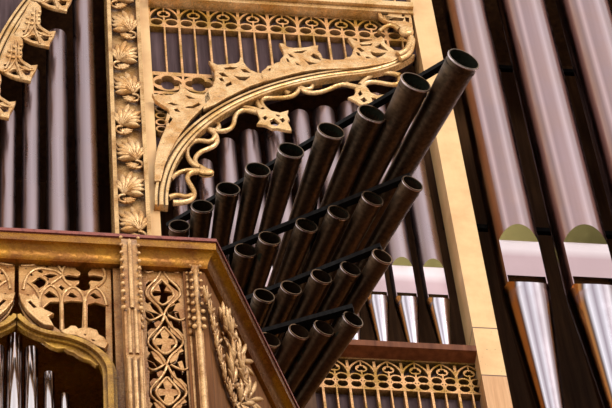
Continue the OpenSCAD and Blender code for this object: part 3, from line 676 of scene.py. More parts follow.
def makeButton(values):
    # a carved knob: a disc drawn forward in rings to a crown
    deselect()
    bpy.ops.mesh.primitive_circle_add(vertices=values["sides"], radius=1, fill_type="NGON")
    knob = bpy.context.active_object
    shape(knob, "FACE")
    chooseAll()
    for scale, rise in values["rings"]:
        bpy.ops.mesh.extrude_region_move()
        grow((scale, scale, 1))
        move(z=rise)
    chooseAll()
    bpy.ops.mesh.normals_make_consistent(inside=False)
    shaped()
    soft = knob.modifiers.new("round", "SUBSURF")
    soft.levels = soft.render_levels = 1
    pick(knob)
    bpy.ops.object.modifier_apply(modifier=soft.name)
    return knob


# running foliage in the pilaster's channel: leaves to either side in turn, each on a curled stem
vine = {
    "axis": 1.826, "face": 0.014, "start": 4.152, "pitch": 0.2248, "low": 2.36, "high": 5.9,
    "leafAside": 0.028, "leafDown": 0.03, "budAside": 0.022, "budDown": 0.082, "budTurn": 100,
    "budSize": 0.34, "stem": 0.006, "stemBack": 0.002, "stemDown": 0.056, "stemBend": 0.024, "steps": 19,
    "outward": (80, 290), "inward": (-110, 100),
    "leaf": {
        "fingers": [
            (-35, 0.05, 0.016), (-16, 0.076, 0.02), (0, 0.108, 0.026), (15, 0.128, 0.028),
            (30, 0.112, 0.026), (43, 0.112, 0.026), (58, 0.09, 0.024), (76, 0.082, 0.022),
            (100, 0.074, 0.019),
        ],
        "deep": 0.03, "lift": 9,
    },
}


def makeVine(values):
    leaves, rods = [], []
    axis, face = values["axis"], values["face"]
    count = math.floor((values["high"] - values["start"]) / values["pitch"])
    for i in range(math.ceil((values["low"] - values["start"]) / values["pitch"]), count + 1):
        side = 1 if i % 2 else -1
        z = values["start"] + i * values["pitch"]
        x = axis - side * values["leafAside"]
        leaves.append(onWall(x, face, z - values["leafDown"], turn=180, mirror=-side))
        x = axis - side * values["budAside"]
        turn = side * values["budTurn"]
        leaves.append(onWall(x, face, z - values["budDown"], turn=turn, size=values["budSize"], mirror=side))
        first, last = values["outward"] if side > 0 else values["inward"]
        stem = (x, face + values["stemBack"], z - values["stemDown"])
        rods.append(makeArc(*stem, values["stemBend"], first, last, values["stem"], values["steps"]))
    foliage = spread(makeFingers(values["leaf"]), bothSides(leaves))
    finishPiece(joinAll([foliage, mirrored(rods)]), "pilasterVine", "leafGilt")


makeVine(vine)

# leaf crowns on the arch over the trumpets: outlines with their slits, drawn where the photograph shows them
archCrowns = {
    "plane": 0.006, "thick": 0.018, "wider": 1.7,
    "left": [
        [(153, 96), (162, 97.5), (172, 97), (178, 94.5), (180.5, 91), (180, 86.5), (184, 90), (189, 94),
         (196, 96.5), (204, 97), (208, 93), (210, 101), (200, 111), (190, 121), (181, 133), (174, 144),
         (169, 154), (164, 166), (160, 182), (155, 182), (155, 166), (158, 150), (162, 139), (166, 130),
         (169.5, 120), (170, 114), (168, 109.5), (162, 106), (156, 102)],
        [(168.5, 105.2), (172, 104.5), (178, 106.8), (173, 107)],
        [(174, 111), (177, 110.8), (179.5, 113.6), (175.5, 113)],
        [(186.5, 108), (192, 107.6), (196, 105.5), (198, 107.2), (193, 109.4), (189, 109.3)],
        [(186, 97.6), (190, 98.4), (195, 100.3), (189, 100.2)],
        [(168, 118), (171, 121), (169, 124), (167, 122)],
    ],
    "middle": [
        [(205, 98), (209, 91), (213, 88.5), (214.3, 84), (215.6, 80), (215, 76), (215, 72), (213, 69),
         (210, 63.6), (213, 65), (217, 67), (223, 66.8), (230, 66), (236, 65.6), (239.6, 63.4),
         (240.6, 59.6), (242.2, 60.4), (242.8, 64), (246, 68.6), (250, 72), (256, 74.6), (262, 75.5),
         (263, 83), (250, 87), (238, 93), (226, 99), (214, 106), (204, 110)],
        [(225.5, 69.6), (230, 68.9), (236, 69.2), (232, 71), (227, 71)],
        [(219, 74.8), (223, 75), (227, 78.2), (222, 77.6)],
        [(218.8, 80), (222, 80), (223.6, 83), (220.6, 82.4)],
        [(241.6, 71.6), (245, 71.4), (249.4, 74.4), (244, 73.8)],
        [(235, 77.6), (240, 78.7), (247.4, 78.5), (243.4, 81.6), (240, 81.2)],
        [(226, 86), (230, 84), (231, 86.4), (227, 88)],
    ],
    "right": [
        [(261, 79), (262, 73.5), (266, 70.5), (268, 68), (272, 67.4), (276, 65), (280, 64), (281, 61),
         (284, 58), (284, 54), (282, 50), (280, 45.4), (283, 45.8), (287, 49), (293, 50), (300, 50),
         (307, 49.4), (312, 48), (317.4, 47.4), (316.6, 52), (320, 55.6), (322, 60.6), (330, 61.8),
         (338, 62), (344, 61.6), (346, 59.2), (350, 59), (352.6, 56), (353, 53.4), (354.6, 50),
         (352.4, 46), (348.6, 40.6), (350.4, 40), (354, 42), (360, 44.6), (366, 43.6), (372, 42.4),
         (378, 40), (381, 38.4), (383.4, 41), (384, 45), (387, 47.4), (391, 50), (394, 52.4), (400, 53),
         (404, 56), (392, 62.5), (380, 65.5), (366, 67.6), (350, 69.6), (332, 70), (318, 70.6),
         (304, 72.6), (290, 75.6), (276, 79.4), (264, 83)],
        [(288, 55.8), (291, 56.6), (294.4, 59.4), (290, 58.4)],
        [(295, 53.6), (300, 52.8), (305, 52.4), (301, 54.6), (297, 54.6)],
        [(311.6, 57.6), (314, 56), (317, 57.5), (319.4, 60.8), (314, 59.7)],
        [(304.4, 60.8), (308, 63), (315.4, 64.4), (309, 65.7)],
        [(286, 60.4), (288, 61), (289.4, 63.8), (287, 63)],
        [(295, 64), (298, 65.4), (300.4, 67.4), (296.6, 66.4)],
        [(268.6, 70.4), (271, 70), (270, 72.2), (268, 72)],
        [(361, 45.6), (366, 46), (370.4, 45.2), (369, 47.2), (363, 47.5)],
        [(357, 50), (360, 50), (363.4, 52.4), (360.6, 53)],
        [(356, 54), (359, 55), (360.4, 57.8), (357.4, 56.6)],
        [(376.4, 49.3), (380.4, 46.8), (385.8, 51.8), (381, 50.8)],
        [(371.8, 53.6), (376, 55), (383.4, 54.8), (380, 57.2), (377, 58.4), (374, 56.7)],
        [(365, 58.4), (368, 58.4), (371.4, 60), (367, 60)],
    ],
    "finial": [
        [(377, 5.4), (379, 3.2), (382, 5.4), (388, 7), (396, 8), (406, 8.6), (409.6, 14), (411, 22),
         (412, 30), (401, 29), (396, 25.4), (390, 23.4), (384, 21.6), (380, 19), (378, 15), (377.6, 10)],
        [(381, 14), (383, 12.8), (386.8, 16), (383, 17.6)],
        [(388, 18.8), (394, 19.8), (400, 20.4), (399, 22.2), (390, 21.7)],
        [(402, 15.6), (404.4, 16), (404, 18.4), (402, 17.8)],
        [(405, 19.8), (408, 20.6), (408, 23.4), (406, 22.6)],
        [(388, 11.4), (393, 12.6), (398, 11.4), (395, 13), (391, 13.2)],
    ],
}


def makeArchLeaves(values):
    crowns = [values[name] for name in ("left", "middle", "right", "finial")]
    parts = [carvedPlate(loops, values["plane"], values["thick"], wider=values["wider"]) for loops in crowns]
    finishPiece(mirrored(parts), "archLeafCrowns", "leafGilt")


makeArchLeaves(archCrowns)

# the upturned end of the arch: its mouldings curl up to a boss against the post
archEnd = {
    "plane": -0.006, "root": 0.1,
    "curls": [
        ([(398, 55.5), (404, 53), (408, 49), (410.4, 44), (410.6, 38)], 0.013),
        ([(400, 59.5), (406, 57), (410.4, 53), (412.4, 47), (412.6, 40)], 0.01),
        ([(379, 32), (382, 28.6), (386, 26.4), (391, 24.8), (396, 26.8), (399, 30)], 0.008),
    ],
    "boss": (0.768, -0.004, 5.313), "bossSize": (0.03, 0.034, 0.045),
    "bossShape": {"sides": 12, "rings": [(1.0, 0.35), (0.86, 0.18), (0.62, 0.1), (0.5, -0.08), (0.4, 0.1)]},
}


def makeArchEnd(values):
    curls = [makeRod(route, values["plane"], thick, values["root"]) for route, thick in values["curls"]]
    place = onWall(*values["boss"]) @ Matrix.Diagonal((*values["bossSize"], 1))
    boss = spread(makeButton(values["bossShape"]), bothSides([place]))
    finishPiece(joinAll([mirrored(curls), boss]), "archEndFinials", "archGilt")


makeArchEnd(archEnd)

# round branches under the arch, followed along their middles; knobs give a size, the boss a width too
branchWork = {
    "plane": 0.024, "thick": 0.0088, "leafFront": 0.008, "leafThick": 0.014,
    "routes": [
        [(173, 203), (180, 203), (186, 202.4), (191, 200.4), (194, 197), (194.6, 193), (193, 189),
         (190.4, 185), (188, 181), (187, 178), (188.4, 174.6), (192, 172.6), (198, 171.8), (206, 172)],
        [(168, 198), (172, 196), (177, 195), (182, 196), (187, 197.4), (192, 196)],
        [(170, 179), (173, 176), (178, 173), (184, 171), (190, 170.2), (198, 171), (206, 172)],
        [(207, 172), (203, 168.6), (198.6, 167), (196, 164.6), (194.6, 161), (195.4, 157.4),
         (198.4, 153.6), (203, 150.8), (209, 148.8), (214, 146.4), (217, 143), (217.4, 139), (215.8, 135),
         (212, 131.4), (206, 128.6), (199, 127)],
        [(200, 167.6), (195, 165.6), (191, 162.6), (188, 158.4), (186.6, 153.6), (187, 149),
         (189.6, 144.6), (193.4, 141.4), (199, 140.4), (205, 141.2), (210, 142.4), (214, 140),
         (215.6, 136)],
        [(202, 126), (207, 129.4), (214, 131), (220, 131.4), (226, 131), (231, 128.6), (234, 124),
         (234.4, 119), (236, 114), (240, 111), (246, 110), (253, 111.4), (262, 114)],
        [(213, 119), (217, 114.6), (222, 111.4), (229, 108.6), (237, 107.2), (245, 107.2), (252, 108.6),
         (258, 110.4), (265, 114)],
        [(200, 127), (205, 124.8), (211, 123.4), (216, 123.4), (219.4, 125.4), (219, 128.6), (216, 131)],
        [(272, 115), (266, 110.6), (262, 106), (260.6, 102), (262, 99.4), (266, 98.2), (272, 98),
         (279, 98.2), (286, 97.8), (292, 96.4), (296.6, 93.4), (299, 89.4), (298.6, 85.6), (296, 82)],
        [(262, 110), (258, 105.6), (256.2, 101), (257, 97), (260, 92.6), (265, 89.6), (270, 88.4),
         (276, 88.4), (281, 89.6), (285, 92), (290, 94.6)],
        [(285, 91.6), (283.6, 88.4), (285, 85), (289, 82.8), (294, 83), (297.6, 85.6)],
        [(294, 80.6), (297.6, 85), (301, 89.4), (305, 92), (311, 93.2), (317, 93), (323, 91.6),
         (329, 89.4), (335, 86.6), (341, 84.8), (347, 84.6), (353, 86.6), (360, 88.4)],
        [(300, 88), (304, 89.6), (308, 90), (311.6, 88.4), (312.4, 85.4), (309, 83)],
        [(361, 89), (363, 85.4), (366, 83), (371, 82), (377, 82.2), (384, 83.6), (391, 84.8), (397, 85),
         (400.6, 82.4), (400, 79)],
        [(360, 86), (363, 81.6), (367, 78.2), (372, 75.6), (378, 73.8), (386, 72.8), (394, 73.6),
         (400, 76)],
        [(361, 88), (365, 91.4), (368.6, 95), (370.6, 100), (371, 105)],
    ],
    "boss": (206, 173, 0.021, 1.5),
    "knobs": [
        (311, 83, 0.008), (210, 141, 0.009), (199, 134, 0.01), (400, 80, 0.009), (347, 83.4, 0.008),
        (363, 88, 0.013),
    ],
    "leaves": [
        [
            [(257, 112), (266, 110.6), (273, 113), (280, 114.4), (287.4, 112.4), (286.4, 116),
             (288.6, 120.6), (286.6, 122.6), (290, 129), (290.6, 131.6), (284, 130.6), (277, 129),
             (272, 129.4), (266, 126), (257.6, 125), (261, 120.4), (259, 116)],
            [(262, 119), (265, 116.6), (267.6, 119), (265, 121.6)],
            [(270, 122), (274, 120), (279, 124.6), (276, 127), (271, 125.6)],
            [(275, 115.4), (280, 116.6), (279, 118.4), (276.4, 117.6)],
            [(279, 120.4), (283, 119), (285, 122), (282.4, 124)],
        ],
        [
            [(358, 87), (364, 86), (370, 94), (377, 97), (385.6, 96), (385.4, 99.6), (378, 103.6),
             (374.6, 107.4), (368, 104), (361, 105.6), (354.6, 101.4), (349, 98.8), (354.4, 97),
             (356, 93.6), (355.4, 90)],
            [(357.6, 95), (360, 91.6), (362.4, 95.4), (359.6, 97.6)],
            [(360, 101), (364, 98.6), (367, 102), (363.6, 103.6)],
            [(371, 98.6), (376, 99.4), (375, 102.6), (372, 102.4)],
        ],
    ],
}
knobRings = {"sides": 9, "rings": [(1.0, 0.3), (0.8, 0.25), (0.45, 0.15)]}


def makeBranches(values):
    plane = values["plane"]
    parts = [makeRod(route, plane, values["thick"]) for route in values["routes"]]
    face, thick = plane - values["leafFront"], values["leafThick"]
    parts += [carvedPlate(loops, face, thick) for loops in values["leaves"]]
    places = []
    for u, v, size, wide in [(*knob, 1.0) for knob in values["knobs"]] + [values["boss"]]:
        places.append(onWall(*fromPhoto(u, v, plane), size=size, wide=wide))
        places.append(places[-1] @ turned(180, "Y"))
    parts.append(spread(makeButton(knobRings), places))
    finishPiece(mirrored(parts), "archBranches", "archGilt", replaced="arch_scrolls")


makeBranches(branchWork)

# leaf crowns hanging from the outer arches: one is drawn, and the others have their tips at the pixels given
outerCusps = {
    "plane": 0.006, "thick": 0.016, "wider": 1.2, "ribThick": 0.0055, "ribRoot": -0.2, "beadSize": 0.0115,
    "tips": [(48.4, 47.6), (66, 12), (30, 82), (8, 119), (-12, 157)],
    "crown": [
        [(31, 3), (36, 4), (40, 8), (40.6, 13), (39, 17), (40, 22), (38.6, 25), (41, 28.6), (45, 31),
         (49, 33.6), (54.6, 33), (52.6, 38.4), (49.6, 43), (48.4, 47.6), (42, 46.2), (36, 45), (30, 43),
         (24, 40), (19, 37.6), (13.6, 37), (17, 32), (20, 27), (22, 21), (25, 14), (28, 8)],
        [(22, 31.6), (26, 31.6), (30, 29.6), (27.6, 33.4), (23, 34)],
        [(33.6, 26.8), (38, 29.8), (44.4, 33), (40, 33.6), (36, 31.2)],
        [(27, 39.4), (31.6, 36.6), (34.6, 36.6), (38, 42.8), (32, 42)],
        [(39.6, 37.8), (44, 37.4), (49, 37.8), (48, 42), (44, 42.6)],
    ],
    "ribs": [
        [(34, 8), (34.6, 16), (34, 24), (35, 31), (38.4, 37), (40, 44)],
        [(30, 12), (30.6, 20), (28.6, 28), (24, 35)], [(37, 10), (37, 18), (36, 25), (41, 29.6), (50, 35)],
        [(34, 26), (30, 32), (27, 37), (22, 37.6)], [(35, 30), (40, 34.6), (46, 36.6), (52, 36)],
    ],
    "beads": [
        (38.6, 12), (37.6, 16), (38, 20), (37.4, 24), (33, 14), (32.6, 19), (31.6, 24), (28.6, 18),
        (27.6, 23),
    ],
}


def makeCusps(values):
    plane, thick = values["plane"], values["thick"]
    front = plane - thick / 2
    parts = [carvedPlate(values["crown"], plane, thick, wider=values["wider"])]
    parts += [makeRod(route, front, values["ribThick"], values["ribRoot"]) for route in values["ribs"]]
    beads = [onWall(*fromPhoto(u, v, front), size=values["beadSize"]) for u, v in values["beads"]]
    parts.append(spread(makeButton(knobRings), beads))
    tips = [fromPhoto(u, v, plane) for u, v in values["tips"]]
    cusps = spread(joinAll(parts), bothSides([Matrix.Translation(tip - tips[0]) for tip in tips]))
    finishPiece(cusps, "outerArchCusps", "leafGilt", replaced="outer_cusps")


makeCusps(outerCusps)

# the front cases, drawn on the half toward the organ's middle: openwork over the arch and in the side panels
frontCase = {
    "axis": -2.288, "plane": -1.34, "thick": 0.008, "soft": 0.002, "wider": 1.16, "cellWider": 1.5,
    "cellRib": 0.0036, "spandrelRib": 0.0042, "panel": (0.318, 0.427, 0.6, 1.617), "margin": (0.012, 0.01),
    "centre": 0.3725, "top": 1.527, "pitch": 0.2155, "cells": 5, "cellAt": (165, 339),
    "crocketFront": 0.014, "crocketThick": 0.016, "fringeFront": 0.006, "fringeThick": 0.014,
    "spandrel": [
        [(19, 246), (60, 249.5), (110, 257), (111, 300), (112, 352), (112, 364), (105, 360), (90, 351),
         (75, 344), (60, 339), (45, 333), (33, 325), (25, 316), (19.5, 305)],
        [(50, 304), (59, 304), (59, 330), (52, 325), (46, 317), (44, 309)],
        [(64, 304), (72, 303), (82, 304), (81, 330), (65, 332)],
        [(88, 307), (95, 305), (105, 308), (105, 340), (88, 332)],
        [(44, 296), (49, 292), (53, 294), (58, 298.5), (48, 299)],
        [(67, 297), (70, 293.5), (73, 294), (78, 298), (73, 299)],
        [(89.5, 296), (94, 294), (97, 296), (101, 299), (95, 300)],
        [(80, 274), (76, 271.5), (76.5, 268.5), (83, 267.4), (90, 268.5), (90.5, 271.5), (88, 274.5),
         (88.5, 276.5), (93, 276), (100, 277.5), (101.5, 280), (97, 282.3), (90, 281.5), (88.5, 283),
         (90, 285.5), (89, 289), (84, 290.5), (78, 288.5), (76, 285.5), (79, 283), (79, 281.6),
         (73, 281.7), (66.5, 280.5), (65.5, 277.5), (70, 275.8), (78, 277), (80, 276)],
        [(25, 262), (28, 261.5), (31.5, 264), (27, 264.5)], [(24, 269), (28.6, 268), (26, 270.6)],
        [(36, 260), (40, 261), (42, 261.5), (38, 262.5)], [(44.5, 265), (47, 264), (48.5, 268), (46, 269)],
        [(37, 271), (40, 270), (43, 272), (42, 274.5), (38, 273)],
        [(28, 275), (31, 274), (34, 276), (31, 277.5)],
        [(32, 284), (37, 280), (44, 278), (48, 281), (45, 286), (39, 289), (36, 286)],
        [(43, 276.5), (50, 274.5), (58, 276), (52, 279), (46, 279.5)],
        [(58, 288), (61, 286), (65, 289), (62, 292)],
        [(27, 305), (31, 304), (36, 307), (37, 311.5), (31, 308.5)], [(25, 295), (30, 295.5), (28, 297)],
    ],
    "cell": [
        [(161.5, 334), (164.5, 331.6), (168.4, 334), (166.6, 338), (170, 338.6), (173.4, 341),
         (168.6, 342.6), (168.4, 345.4), (165.6, 349), (162, 345.6), (163, 342), (158.6, 342.6),
         (156, 340), (159, 337.8), (163, 338.4)],
        [(172, 328.5), (177, 329), (181, 333), (180.6, 337.6), (176, 334), (172.5, 331)],
        [(148.5, 331), (151, 328.5), (156, 329), (153, 333), (150, 335.4)],
        [(155, 322), (158, 320.5), (160.5, 321.5), (159, 325), (156, 324.5)],
        [(168, 322), (170.5, 321), (172, 325), (169, 325.5)],
        [(147.5, 346), (151, 346), (153.5, 349.5), (150, 350.5), (148, 349)],
        [(176.5, 349), (179.5, 346.5), (182, 349.5), (178, 351)],
        [(153.5, 352), (158, 351), (162.5, 357.5), (160.5, 360), (156, 356.5)],
        [(170, 357), (172, 353), (177, 353.5), (175, 358), (171, 360)],
        [(148, 360), (153, 362.5), (155.5, 366), (150, 369)],
        [(178.5, 362), (181.5, 361), (183, 366), (182, 369)],
    ],
    "cellRibs": [
        [(164, 314), (161.4, 322), (155, 328), (149, 334), (146.6, 340), (150, 345), (157, 350),
         (163, 356), (165.4, 363)],
        [(165, 314), (168.4, 322), (174, 327), (181, 333), (184, 339), (181, 345), (174, 350), (168, 356),
         (166, 363)],
        [(163.6, 325), (158, 330.6), (153, 336), (152.6, 340.6), (158, 347), (165, 353.4), (172, 347.6),
         (177, 342), (175.6, 337), (170, 331), (164.4, 325)],
        [(146, 316), (150, 320), (155, 317), (161, 313)],
        [(184.6, 316), (181, 320), (175, 317), (168, 313)],
    ],
    "spandrelRibs": [
        [(61.6, 300), (61.6, 331)], [(84.6, 300), (85, 340)],
        [(39, 309), (39, 296), (44, 289.6), (50, 284.6), (56, 288), (60, 293), (61.4, 302)],
        [(61.6, 302), (62.4, 295), (66.4, 290), (72.6, 287), (79, 289.6), (83.4, 295), (84.4, 302)],
        [(84.8, 302), (86.4, 295), (90, 291), (95.6, 287.6), (101, 291), (105, 297), (107, 306)],
        [(72.4, 287), (66, 283), (61.8, 276.6), (62, 270), (66, 264.6), (74, 261), (84, 260), (95, 262),
         (102, 267), (106, 274), (104.6, 281), (100, 286), (95.6, 288)],
        [(50, 284.6), (57, 280), (61.8, 276.6)], [(62, 272), (57.6, 265), (53, 259), (50, 254)],
        [(23, 290), (24, 282), (28, 274), (34, 270), (41, 268.4), (48, 270), (57, 271), (61.6, 275)],
        [(28, 283), (34, 287), (38.6, 292), (39.4, 298)],
        [(39, 293), (43, 289), (48, 284.6), (47.6, 280), (40, 277)],
        [(22, 300), (26, 308), (34, 316), (44, 324)],
        [(21, 266), (26, 266), (33, 266), (38, 264), (45, 261.6), (50, 261)],
    ],
    "crockets": [
        [
            [(20, 296), (28, 299), (34, 297), (38, 302), (38, 309), (44, 312), (52, 315.6), (47, 318),
             (49, 322), (52, 327), (44, 326), (36, 320), (28, 312), (22, 304)],
            [(27, 304), (31, 303), (37, 309), (33, 310)], [(31, 312.5), (34, 313), (33, 315)],
        ],
        [
            [(62, 333), (68, 331), (71, 328.4), (75, 328.6), (78, 331.6), (84, 330), (90, 330.6),
             (96, 332.6), (98, 337), (103, 339.6), (107, 345.6), (104, 349.6), (96, 347), (86, 341),
             (76, 337), (66, 336)],
            [(82, 335.6), (87, 336.4), (85, 338.6)], [(90, 341), (94, 341.6), (96.6, 344), (92, 343.4)],
        ],
    ],
    "fringe": [
        [(40, 337), (48, 340), (58, 343), (70, 347), (80, 351), (90, 357), (98, 363), (100, 366),
         (96, 366.6), (90, 361.6), (84, 360), (78, 357), (74, 354), (68, 352), (64, 349), (58, 350),
         (52, 348), (47, 345), (42, 341)],
    ],
}


def onCases(parts):
    # the traced half, its mirror image in the same front case, and both again in the other one
    axis = frontCase["axis"]
    own = [Matrix(), Matrix.Translation((axis, 0, 0)) @ flip @ Matrix.Translation((-axis, 0, 0))]
    return spread(joinAll(parts), bothSides(own))


def makeOpenwork(values):
    axis, y, thick, soft = values["axis"], values["plane"], values["thick"], values["soft"]
    x0, x1, z0, z1 = values["panel"]
    below, above = values["margin"]
    panel = [[(axis + x0, z0), (axis + x1, z0), (axis + x1, z1), (axis + x0, z1)]]
    middle = fromPhoto(*values["cellAt"], y)
    dx = axis + values["centre"] - middle.x
    drops = [values["top"] - k * values["pitch"] - middle.z for k in range(values["cells"])]
    for dz in drops:
        for loop in values["cell"]:
            opening = [(x + dx, z + dz) for x, z in traced(loop, y, values["cellWider"])]
            heights = [z for x, z in opening]
            if min(heights) > z0 + below and max(heights) < z1 - above:
                panel.append(opening)
    plates = [makePlate(panel, y, thick, soft)]
    plates.append(carvedPlate(values["spandrel"], y, thick, soft, values["wider"]))
    finishPiece(onCases(plates), "frontCaseOpenwork", "chairGilt", replaced="chair_tracery")
    front = y - thick / 2
    cellRibs = joinAll([makeRod(route, front, values["cellRib"], root=0) for route in values["cellRibs"]])
    ribs = [spread(cellRibs, [Matrix.Translation((dx, 0, dz)) for dz in drops])]
    ribs += [makeRod(route, front, values["spandrelRib"], root=0) for route in values["spandrelRibs"]]
    finishPiece(onCases(ribs), "frontCaseRibs", "ribGilt")


makeOpenwork(frontCase)


def makeFoliage(values):
    plane = values["plane"]
    front, thick = values["crocketFront"], values["crocketThick"]
    parts = [carvedPlate(loops, plane - front, thick) for loops in values["crockets"]]
    finishPiece(onCases(parts), "frontCaseCrockets", "ribGilt")
    fringe = carvedPlate(values["fringe"], plane - values["fringeFront"], values["fringeThick"])
    finishPiece(onCases([fringe]), "frontCaseFringe", "ogeeGilt")


makeFoliage(frontCase)

# knobs up the edges of the buttresses and corner shafts, and upright rolls on them; a row gives the place
# across from the case's middle, the depth, the top and the foot, and the count of knobs or the roll's radius;
# the point of a roll has its inset and rise as shares of the radius, and between them how far it is drawn in
pinnacles = {
    "size": 0.0064, "grows": 0.0004, "turn": 20, "point": (0.25, 0.05, 2.5),
    "knob": {"sides": 5, "rings": [(1.0, 0.5), (0.7, 0.4), (0.3, 0.2)]},
    "edges": [
        (0.262, -1.42, 1.652, 1.33, 10), (0.306, -1.42, 1.652, 1.33, 10), (0.444, -1.374, 1.606, 1.33, 9),
        (0.468, -1.374, 1.606, 1.33, 9), (0.312, -1.364, 1.6, 1.33, 9), (0.436, -1.354, 1.6, 1.33, 9),
    ],
    "ribs": [
        (0.284, -1.4185, 1.64, 1.335, 0.006), (0.27, -1.433, 1.1, 0.62, 0.005),
        (0.284, -1.433, 1.1, 0.62, 0.006), (0.298, -1.433, 1.1, 0.62, 0.005),
        (0.276, -1.4185, 1.33, 1.14, 0.005), (0.292, -1.4185, 1.33, 1.14, 0.005),
        (0.456, -1.3725, 1.59, 0.62, 0.007), (0.311, -1.3625, 1.6, 0.62, 0.004),
        (0.437, -1.3505, 1.6, 0.62, 0.004),
    ],
}


def makeRib(x, y, top, low, thick):
    # an upright roll, pointed at its top
    deselect()
    middle = (x, y, (top + low) / 2)
    bpy.ops.mesh.primitive_cylinder_add(vertices=8, radius=thick, depth=top - low, location=middle)
    rib = bpy.context.active_object
    bpy.ops.object.transform_apply(location=True)
    shape(rib, "FACE")
    choose(lambda f: f.normal.z > 0.9, "faces")
    inset, tip, rise = pinnacles["point"]
    bpy.ops.mesh.inset(thickness=thick * inset)
    bpy.ops.mesh.extrude_region_move()
    grow((tip, tip, 1), (x, y, top))
    move(z=thick * rise)
    shaped()
    return rib


def makePinnacles(values):
    axis = frontCase["axis"]
    places = []
    for x, y, top, low, count in values["edges"]:
        for k in range(count):
            z = top + (low - top) * k / (count - 1)
            size = values["size"] + values["grows"] * k
            places.append(onWall(axis + x, y, z, turn=values["turn"] * (k % 2), size=size))
    parts = [spread(makeButton(values["knob"]), places)]
    parts += [makeRib(axis + x, y, top, low, thick) for x, y, top, low, thick in values["ribs"]]
    finishPiece(onCases(parts), "frontCasePinnacles", "ribGilt")


makePinnacles(pinnacles)

# leaves climbing the canted sides behind the corner; a row gives its pixels, the first turn, the step to the
# next and how many turns there are, the size of its leaves and how far they hang below the pixels
cantedLeaves = {
    "corner": (-1.805, -1.35), "cant": 0.52, "out": 0.006,
    "rows": [
        ("small", (170, 50, 2), 0.8, 0), ("large", (150, 40, 3), 1.5, 0), ("large", (20, 60, 2), 0.9, 0.05),
    ],
    "small": [
        (205, 300), (207, 307), (209, 314), (211, 321), (212, 329), (214, 337), (216, 345), (217, 353),
        (219, 361), (221, 369), (223, 377), (225, 385), (228, 393), (231, 401), (234, 409),
    ],
    "large": [
        (222, 326), (227, 340), (232, 350), (238, 362), (238, 376), (243, 388), (248, 400), (233, 372),
        (232, 388), (240, 404),
    ],
    "leaf": {
        "fingers": [
            (-80, 0.036, 0.008), (-45, 0.052, 0.01), (-12, 0.066, 0.011), (20, 0.064, 0.011),
            (52, 0.05, 0.01), (85, 0.034, 0.008),
        ],
        "deep": 0.01, "lift": 14,
    },
}


def makeCanted(values):
    along = Vector((values["cant"], 1, 0)).normalized()
    out = Vector((along.y, -along.x, 0))
    corner = Vector((*values["corner"], 0)) + out * values["out"]
    face = Matrix((along, Vector((0, 0, 1)), out)).transposed().to_4x4()
    places = []
    for pixels, (first, step, kinds), size, drop in values["rows"]:
        for k, (u, v) in enumerate(values[pixels]):
            spot = fromPhotoOn(u, v, corner, out) - Vector((0, 0, drop))
            turn = turned(first + step * (k % kinds))
            places.append(Matrix.Translation(spot) @ face @ turn @ Matrix.Scale(size, 4))
    finishPiece(spread(makeFingers(values["leaf"]), bothSides(places)), "cantedSideLeaves", "ribGilt")


makeCanted(cantedLeaves)

# turned rims, painted pale as a highlight, and dark linings painted as shade in the throats of the trumpets;
# a row gives its height, and for each bell how far across and forward it is, how far across its socket is,
# and its diameter, all in millimetres
bells = {
    "rows": [
        (3000, [(1754, 596, 1738, 62), (1691, 671, 1692, 66), (1618, 739, 1648, 70),
                (1535, 813, 1604, 74), (1442, 888, 1560, 78), (1329, 965, 1516, 82),
                (1213, 1033, 1474, 86), (1095, 1151, 1432, 92), (962, 1239, 1388, 98)]),
        (2750, [(1651, 639, 1704, 66), (1572, 684, 1658, 66), (1505, 731, 1614, 66),
                (1400, 784, 1572, 66), (1310, 835, 1532, 66), (1215, 891, 1492, 66),
                (1103, 951, 1452, 66)]),
        (2500, [(1592, 638, 1718, 62), (1532, 694, 1678, 62), (1456, 726, 1638, 62),
                (1372, 771, 1600, 62), (1290, 803, 1562, 62), (1203, 852, 1526, 62)]),
        (2300, [(1525, 677, 1728, 62), (1444, 711, 1688, 62), (1374, 728, 1650, 62),
                (1294, 763, 1612, 62)]),
    ],
    "rim": [(1.03, -0.006), (1.022, 0.0), (1.01, 0.0025), (0.975, 0.002), (0.985, -0.004)],
    "band": [(0.985, -0.03), (1.035, 0.0), (1.0, 0.006), (0.968, 0.0)],
    "throat": [(0.935, -0.004), (1.0, -0.03), (0.955, -0.05), (0.94, -0.06)],
}


mm = 0.001


def bellPlace(x, forward, socket, z, d):
    axis = Vector((x - socket, -forward, 0)).normalized()
    side = Vector((0, 0, 1)).cross(axis)
    turn = Matrix((side, axis.cross(side), axis)).transposed().to_4x4()
    spot = Matrix.Translation((x * mm, -forward * mm, z * mm))
    return spot @ turn @ Matrix.Diagonal((d / 2 * mm, d / 2 * mm, 1, 1))


def makeCollar(profile):
    # a turned ring: one open circle drawn through the steps of its profile, each a scale and a rise
    deselect()
    bpy.ops.mesh.primitive_circle_add(vertices=28, radius=profile[0][0])
    collar = bpy.context.active_object
    shape(collar, "EDGE")
    chooseAll()
    move(z=profile[0][1])
    for scale, rise in profile[1:]:
        bpy.ops.mesh.extrude_edges_move()
        grow((scale, scale, 1))
        move(z=rise)
    shaped()
    return collar


def makeBells(values):
    places = bothSides([bellPlace(x, forward, socket, z, d)
                        for z, row in values["rows"] for x, forward, socket, d in row])
    # pale rims, a painted highlight
    finishPiece(spread(makeCollar(values["rim"]), places), "bellRimHighlights", "rimHighlight")
    finishPiece(spread(makeCollar(values["band"]), places), "bellBands", "trumpetBrass")
    # dark linings inside the bells, painted shade in their throats
    throat = spread(makeCollar(values["throat"]), places)
    shape(throat)
    chooseAll()
    bpy.ops.mesh.flip_normals()
    shaped()
    finishPiece(throat, "bellThroatShade", "throatShade")


makeBells(bells)

